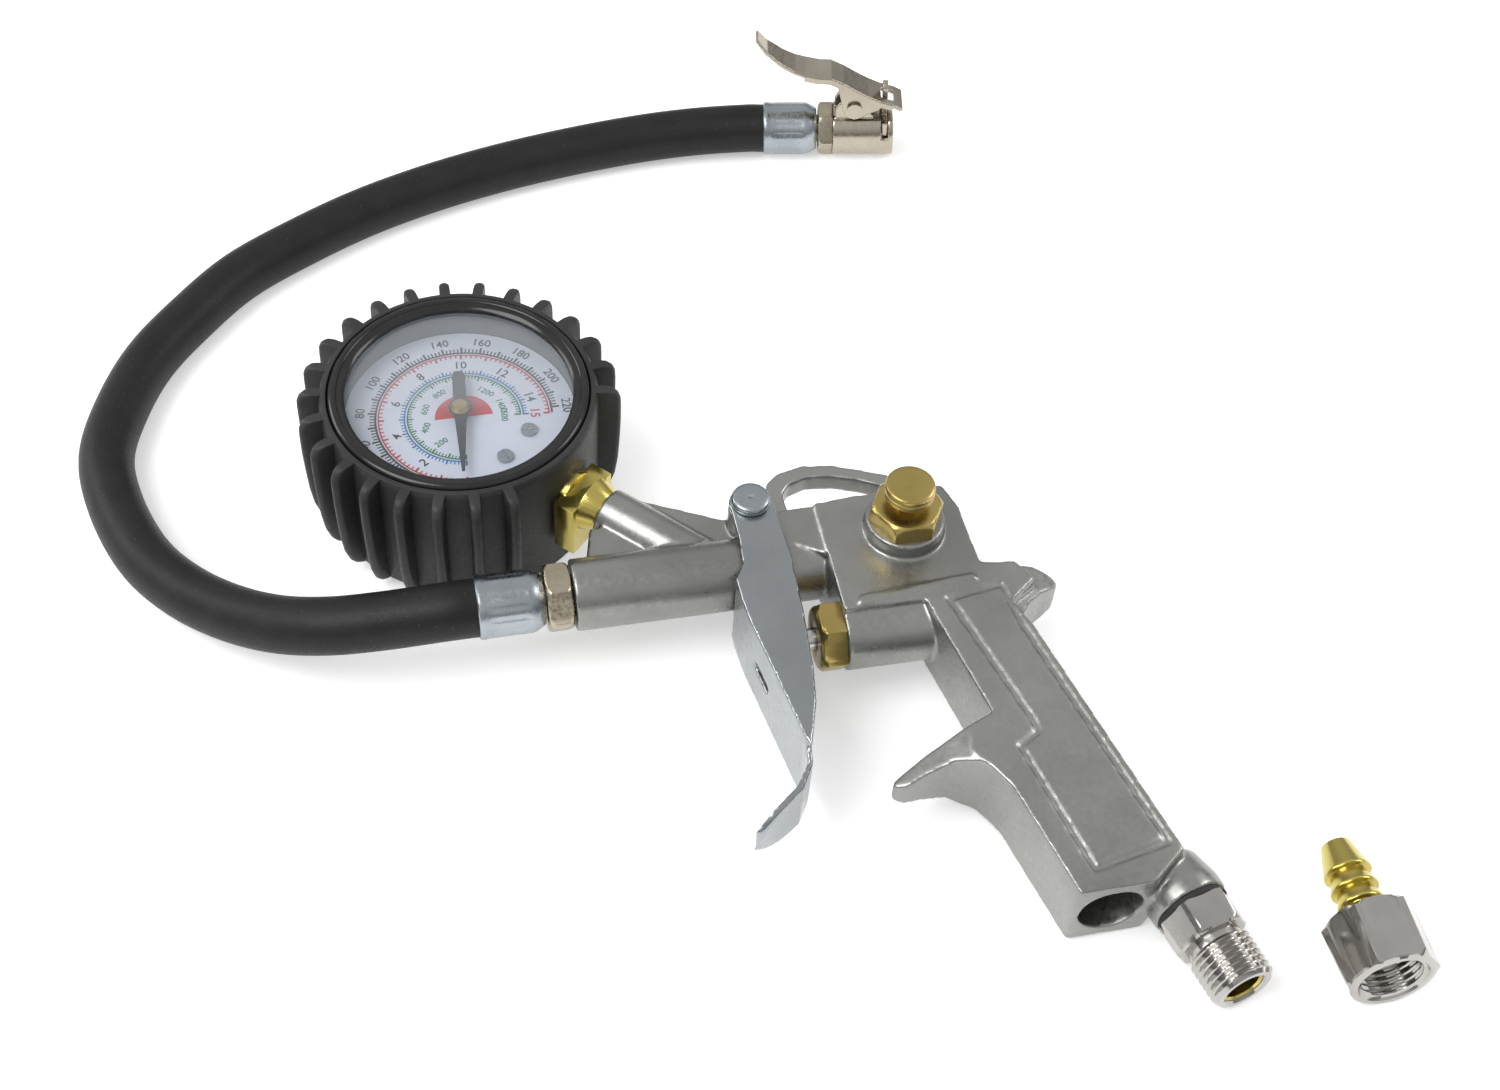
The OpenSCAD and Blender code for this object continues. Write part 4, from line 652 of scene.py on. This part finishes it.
# %% Ring and fins
BEZEL = 14.2
RING_R, FIN_R, FIN_T, FOOT, TOP = 30.4, 35.4, 2.3, -20.0, BEZEL - 0.8
turned("boot_ring", gauge,
       [(FOOT, 20.1), (FOOT, 29.6), (FOOT + 0.4, 30.2), (FOOT + 1, 30.4), (BEZEL - 2.4, 30.4),
        (BEZEL - 1.4, 30.3), (BEZEL - 0.8, 29.9), (BEZEL - 0.6, 29.3), (BEZEL - 0.6, 28.9),
        (BEZEL - 0.8, 28.76), (5.45, 28.76),
        (5.4, 26.8), (-17.4, 26.8), (-17.4, 20.1)],
       "boot_rubber", "gun", bevel=0, upright=True, columns=180)
outer = np.array([[FOOT, RING_R - 0.6], [FOOT, 30.2], [FOOT + 0.4, 31.3], [FOOT + 1.2, 32.4],
                  [FOOT + 2.6, 33.3], [-14, 34.3], [-9, 34.9], [-3, 35.2], [3, FIN_R],
                  [TOP - 4.6, FIN_R], [TOP - 2.6, 35.3], [TOP - 1.2, 34.8], [TOP - 0.3, 33.9],
                  [TOP, 32.8], [TOP, RING_R - 0.6]])
half = np.linspace(-np.pi / 2, np.pi / 2, 9)
reach = outer[:, 1:2] - (RING_R - 1.4)
round_r = np.minimum(FIN_T / 2, reach * 0.9)
across = np.concatenate([[-1], np.sin(half), [1]]) * FIN_T / 2
out_x = np.concatenate([np.zeros(1), np.cos(half), np.zeros(1)])
x = RING_R - 1.4 + np.maximum(reach - round_r, 0) * np.r_[0, np.ones(9), 0] + round_r * out_x
fin = np.stack([x, np.broadcast_to(across, x.shape), np.broadcast_to(outer[:, :1], x.shape)],
               -1)
FINS, FIRST_FIN, STEM_HEADING, STEM_GAP = 26, 5.8, -45, 25
angles = FIRST_FIN + np.arange(FINS) * 360 / FINS
angles = np.radians(angles[np.abs((angles - STEM_HEADING + 180) % 360 - 180) > STEM_GAP])
ca, sa = np.cos(angles)[:, None, None], np.sin(angles)[:, None, None]
many = np.stack([fin[..., 0] * ca - fin[..., 1] * sa, fin[..., 0] * sa + fin[..., 1] * ca,
                 fin[..., 2] + 0 * ca], -1)
rows, cols = fin.shape[:2]
at = np.arange(rows * cols).reshape(rows, cols)
quads = np.stack([at[:-1], at[1:], np.roll(at, -1, 1)[1:], np.roll(at, -1, 1)[:-1]], -1)
shift = (np.arange(len(angles)) * rows * cols)[:, None, None]
faces = (quads.reshape(1, -1, 4) + shift).reshape(-1, 4).tolist()
faces += [list(q) for q in (at[0][::-1][None] + shift[:, :, 0]).tolist()]
faces += [list(q) for q in (at[-1][None] + shift[:, :, 0]).tolist()]
mesh = bpy.data.meshes.new("boot_fins")
mesh.from_pydata(gauge(many.reshape(-1, 3)).tolist(), [], faces)
outward(mesh)
keep("boot_fins", mesh, "boot_rubber", "gun", ["gauge_boot"], smooth=40)
print("fins", len(angles), "faces", len(mesh.polygons))

# %% [markdown]
# ## Bezel, case and dial
# A glossy dark bezel with a fine seam holds the glass. Under it the dial is a pale disc with
# two rings of ticks, four scales in two pairs of colours, plain numerals and a red half disc
# behind the pointer's hub. Prints are thin plates a few hundredths thick, laid on the disc.

# %% Bezel
turned("bezel_ring", gauge,
       [(5.6, 26.65), (5.6, 28.3), (5.9, 28.6), (BEZEL - 1.1, 28.55), (BEZEL - 0.5, 28.3),
        (BEZEL - 0.1, 27.8), (BEZEL, 27.3), (BEZEL - 0.05, 26.9), (BEZEL - 0.25, 26.6),
        (BEZEL - 0.45, 26.5), (BEZEL - 0.5, 26.1), (BEZEL - 0.7, 25.4), (BEZEL - 1.2, 24.9),
        (BEZEL - 1.8, 24.8), (BEZEL - 2.25, 24.8), (BEZEL - 2.25, 26.65)],
       "bezel_plastic", "gun", ["gauge_bezel"], bevel=0, upright=True, columns=180)

# %% Dial prints
PRINT_Z = 5.03
INK = {"black": (0.02, 0.02, 0.025), "red": (0.55, 0.03, 0.03), "blue": (0.04, 0.20, 0.50),
       "green": (0.02, 0.22, 0.10)}
for ink, (r, g, b) in INK.items():
    finish("ink_" + ink, (r, g, b), (r * 0.8, g * 0.8, b * 0.8), 0.45, metal=0, coarse=400,
           fine=2500, bump=0.01, spread=0.05)
ZERO = -94.8
DIAL_UP = -4.8
MIDDLE = (0.7, -0.3)


def dial_at(radius, degrees, z):
    """Point of the dial at that radius and heading, a little off the pointer's axis."""
    t = np.radians(degrees)
    return np.stack([MIDDLE[0] + radius * np.cos(t), MIDDLE[1] + radius * np.sin(t),
                     z + 0 * t], -1)


def print_plate(name, quads, ink, thick=0.03):
    """quads[n, 4, 3]: n flat four-cornered patches, each closed into a thin plate."""
    low = np.asarray(quads, float)
    high = low + [0, 0, thick]
    n = len(low)
    points = np.concatenate([low, high], 1).reshape(-1, 3)
    box = np.array([[3, 2, 1, 0], [4, 5, 6, 7], [0, 1, 5, 4], [1, 2, 6, 5], [2, 3, 7, 6],
                    [3, 0, 4, 7]])
    faces = (box[None] + 8 * np.arange(n)[:, None, None]).reshape(-1, 4)
    mesh = bpy.data.meshes.new(name)
    mesh.from_pydata(gauge(points).tolist(), [], faces.tolist())
    outward(mesh)
    ob = keep(name, mesh, "dial_paint", "gun")
    ob.data.materials[0] = FINISH["ink_" + ink]
    return ob


def ticks(name, count, sweep, r0, r1, width, ink):
    """count + 1 strokes from radius r0 to r1, spread clockwise over the sweep."""
    t = ZERO - np.linspace(0, sweep, count + 1)
    w0, w1 = np.degrees(width / 2 / r0), np.degrees(width / 2 / r1)
    z = np.full(len(t), PRINT_Z)
    return print_plate(name, np.stack([dial_at(r0, t - w0, z), dial_at(r1, t - w1, z),
                                       dial_at(r1, t + w1, z), dial_at(r0, t + w0, z)], 1), ink)


def arc(name, radius, width, ink, sweep=270, z=PRINT_Z):
    """A printed line along part of a circle, in short patches."""
    t = ZERO - np.linspace(0, sweep, 91)
    z = np.full(90, z)
    far = radius + width
    return print_plate(name, np.stack([dial_at(radius, t[:-1], z), dial_at(far, t[:-1], z),
                                       dial_at(far, t[1:], z), dial_at(radius, t[1:], z)], 1),
                       ink)


arc("scale_black", 19.2, 0.45, "black")
ticks("ticks_black", 110, 265, 19.3, 20.7, 0.34, "black")
ticks("ticks_black_long", 22, 265, 19.3, 21.2, 0.5, "black")
arc("scale_red", 18.6, 0.35, "red")
ticks("ticks_red", 75, 270, 17.9, 18.9, 0.32, "red")
ticks("ticks_red_long", 15, 270, 17.5, 18.9, 0.48, "red")
arc("scale_blue", 12.9, 0.35, "blue")
ticks("ticks_blue", 75, 270, 12.9, 14.0, 0.28, "blue")
ticks("ticks_blue_long", 15, 270, 12.9, 14.3, 0.42, "blue")
arc("scale_green", 12.25, 0.35, "green")
ticks("ticks_green", 75, 270, 11.5, 12.5, 0.28, "green")
ticks("ticks_green_long", 15, 270, 11.1, 12.5, 0.42, "green")
t = np.linspace(0, 180, 41)
HUB_R, DISC_R = 0.3, 6.4
wide = np.stack([dial_at(HUB_R, t[:-1], PRINT_Z), dial_at(DISC_R, t[:-1], PRINT_Z),
                 dial_at(DISC_R, t[1:], PRINT_Z), dial_at(HUB_R, t[1:], PRINT_Z)], 1)
print_plate("half_disc", wide, "red")


# %% Numerals
def numeral(text, radius, degrees, size, ink):
    """The text's outline is made a mesh first, then centred, turned along the scale so that its
    top faces outwards (inwards on the lower half), and carried onto the dial."""
    curve = bpy.data.curves.new("numeral_" + ink + "_" + text, "FONT")
    curve.body, curve.size, curve.align_x, curve.align_y = text, size, "CENTER", "CENTER"
    curve.extrude, curve.resolution_u, curve.offset = 0.015, 3, 0.012 * size
    ob = bpy.data.objects.new(curve.name, curve)
    bpy.context.scene.collection.objects.link(ob)
    bpy.context.view_layer.update()
    mesh = bpy.data.meshes.new_from_object(
        ob.evaluated_get(bpy.context.evaluated_depsgraph_get()))
    bpy.data.objects.remove(ob)
    co = np.zeros(len(mesh.vertices) * 3)
    mesh.vertices.foreach_get("co", co)
    co = co.reshape(-1, 3)
    co[:, :2] -= (co[:, :2].min(0) + co[:, :2].max(0)) / 2
    at = dial_at(radius, degrees, np.float64(PRINT_Z + 0.02))
    heading = (degrees + 180) % 360 - 180
    turn = math.radians(heading - 90 if heading >= 0 else 2 * DIAL_UP - heading - 90)
    x = co[:, 0] * math.cos(turn) - co[:, 1] * math.sin(turn)
    y = co[:, 0] * math.sin(turn) + co[:, 1] * math.cos(turn)
    mesh.vertices.foreach_set("co", gauge(np.stack([x, y, co[:, 2]], -1) + at).ravel())
    mesh.update()
    ob = keep(curve.name, mesh, "dial_paint", "gun")
    ob.data.materials[0] = FINISH["ink_" + ink]
    return ob


for k in range(1, 12):
    numeral(str(20 * k), 22.9, ZERO - 24.1 * k, 2.9, "black")
for k in (2, 4, 6, 8, 10, 12, 14, 15):
    numeral(str(k), 15.7, ZERO - 18 * k, 3.0, "red" if k == 15 else "black")
for k in (2, 4, 6, 8, 12, 14, 15):
    numeral(str(100 * k), 8.9, ZERO - 18 * k, 2.1, "green")

# %% [markdown]
# ## Finish

# %% Finish
bpy.context.view_layer.update()
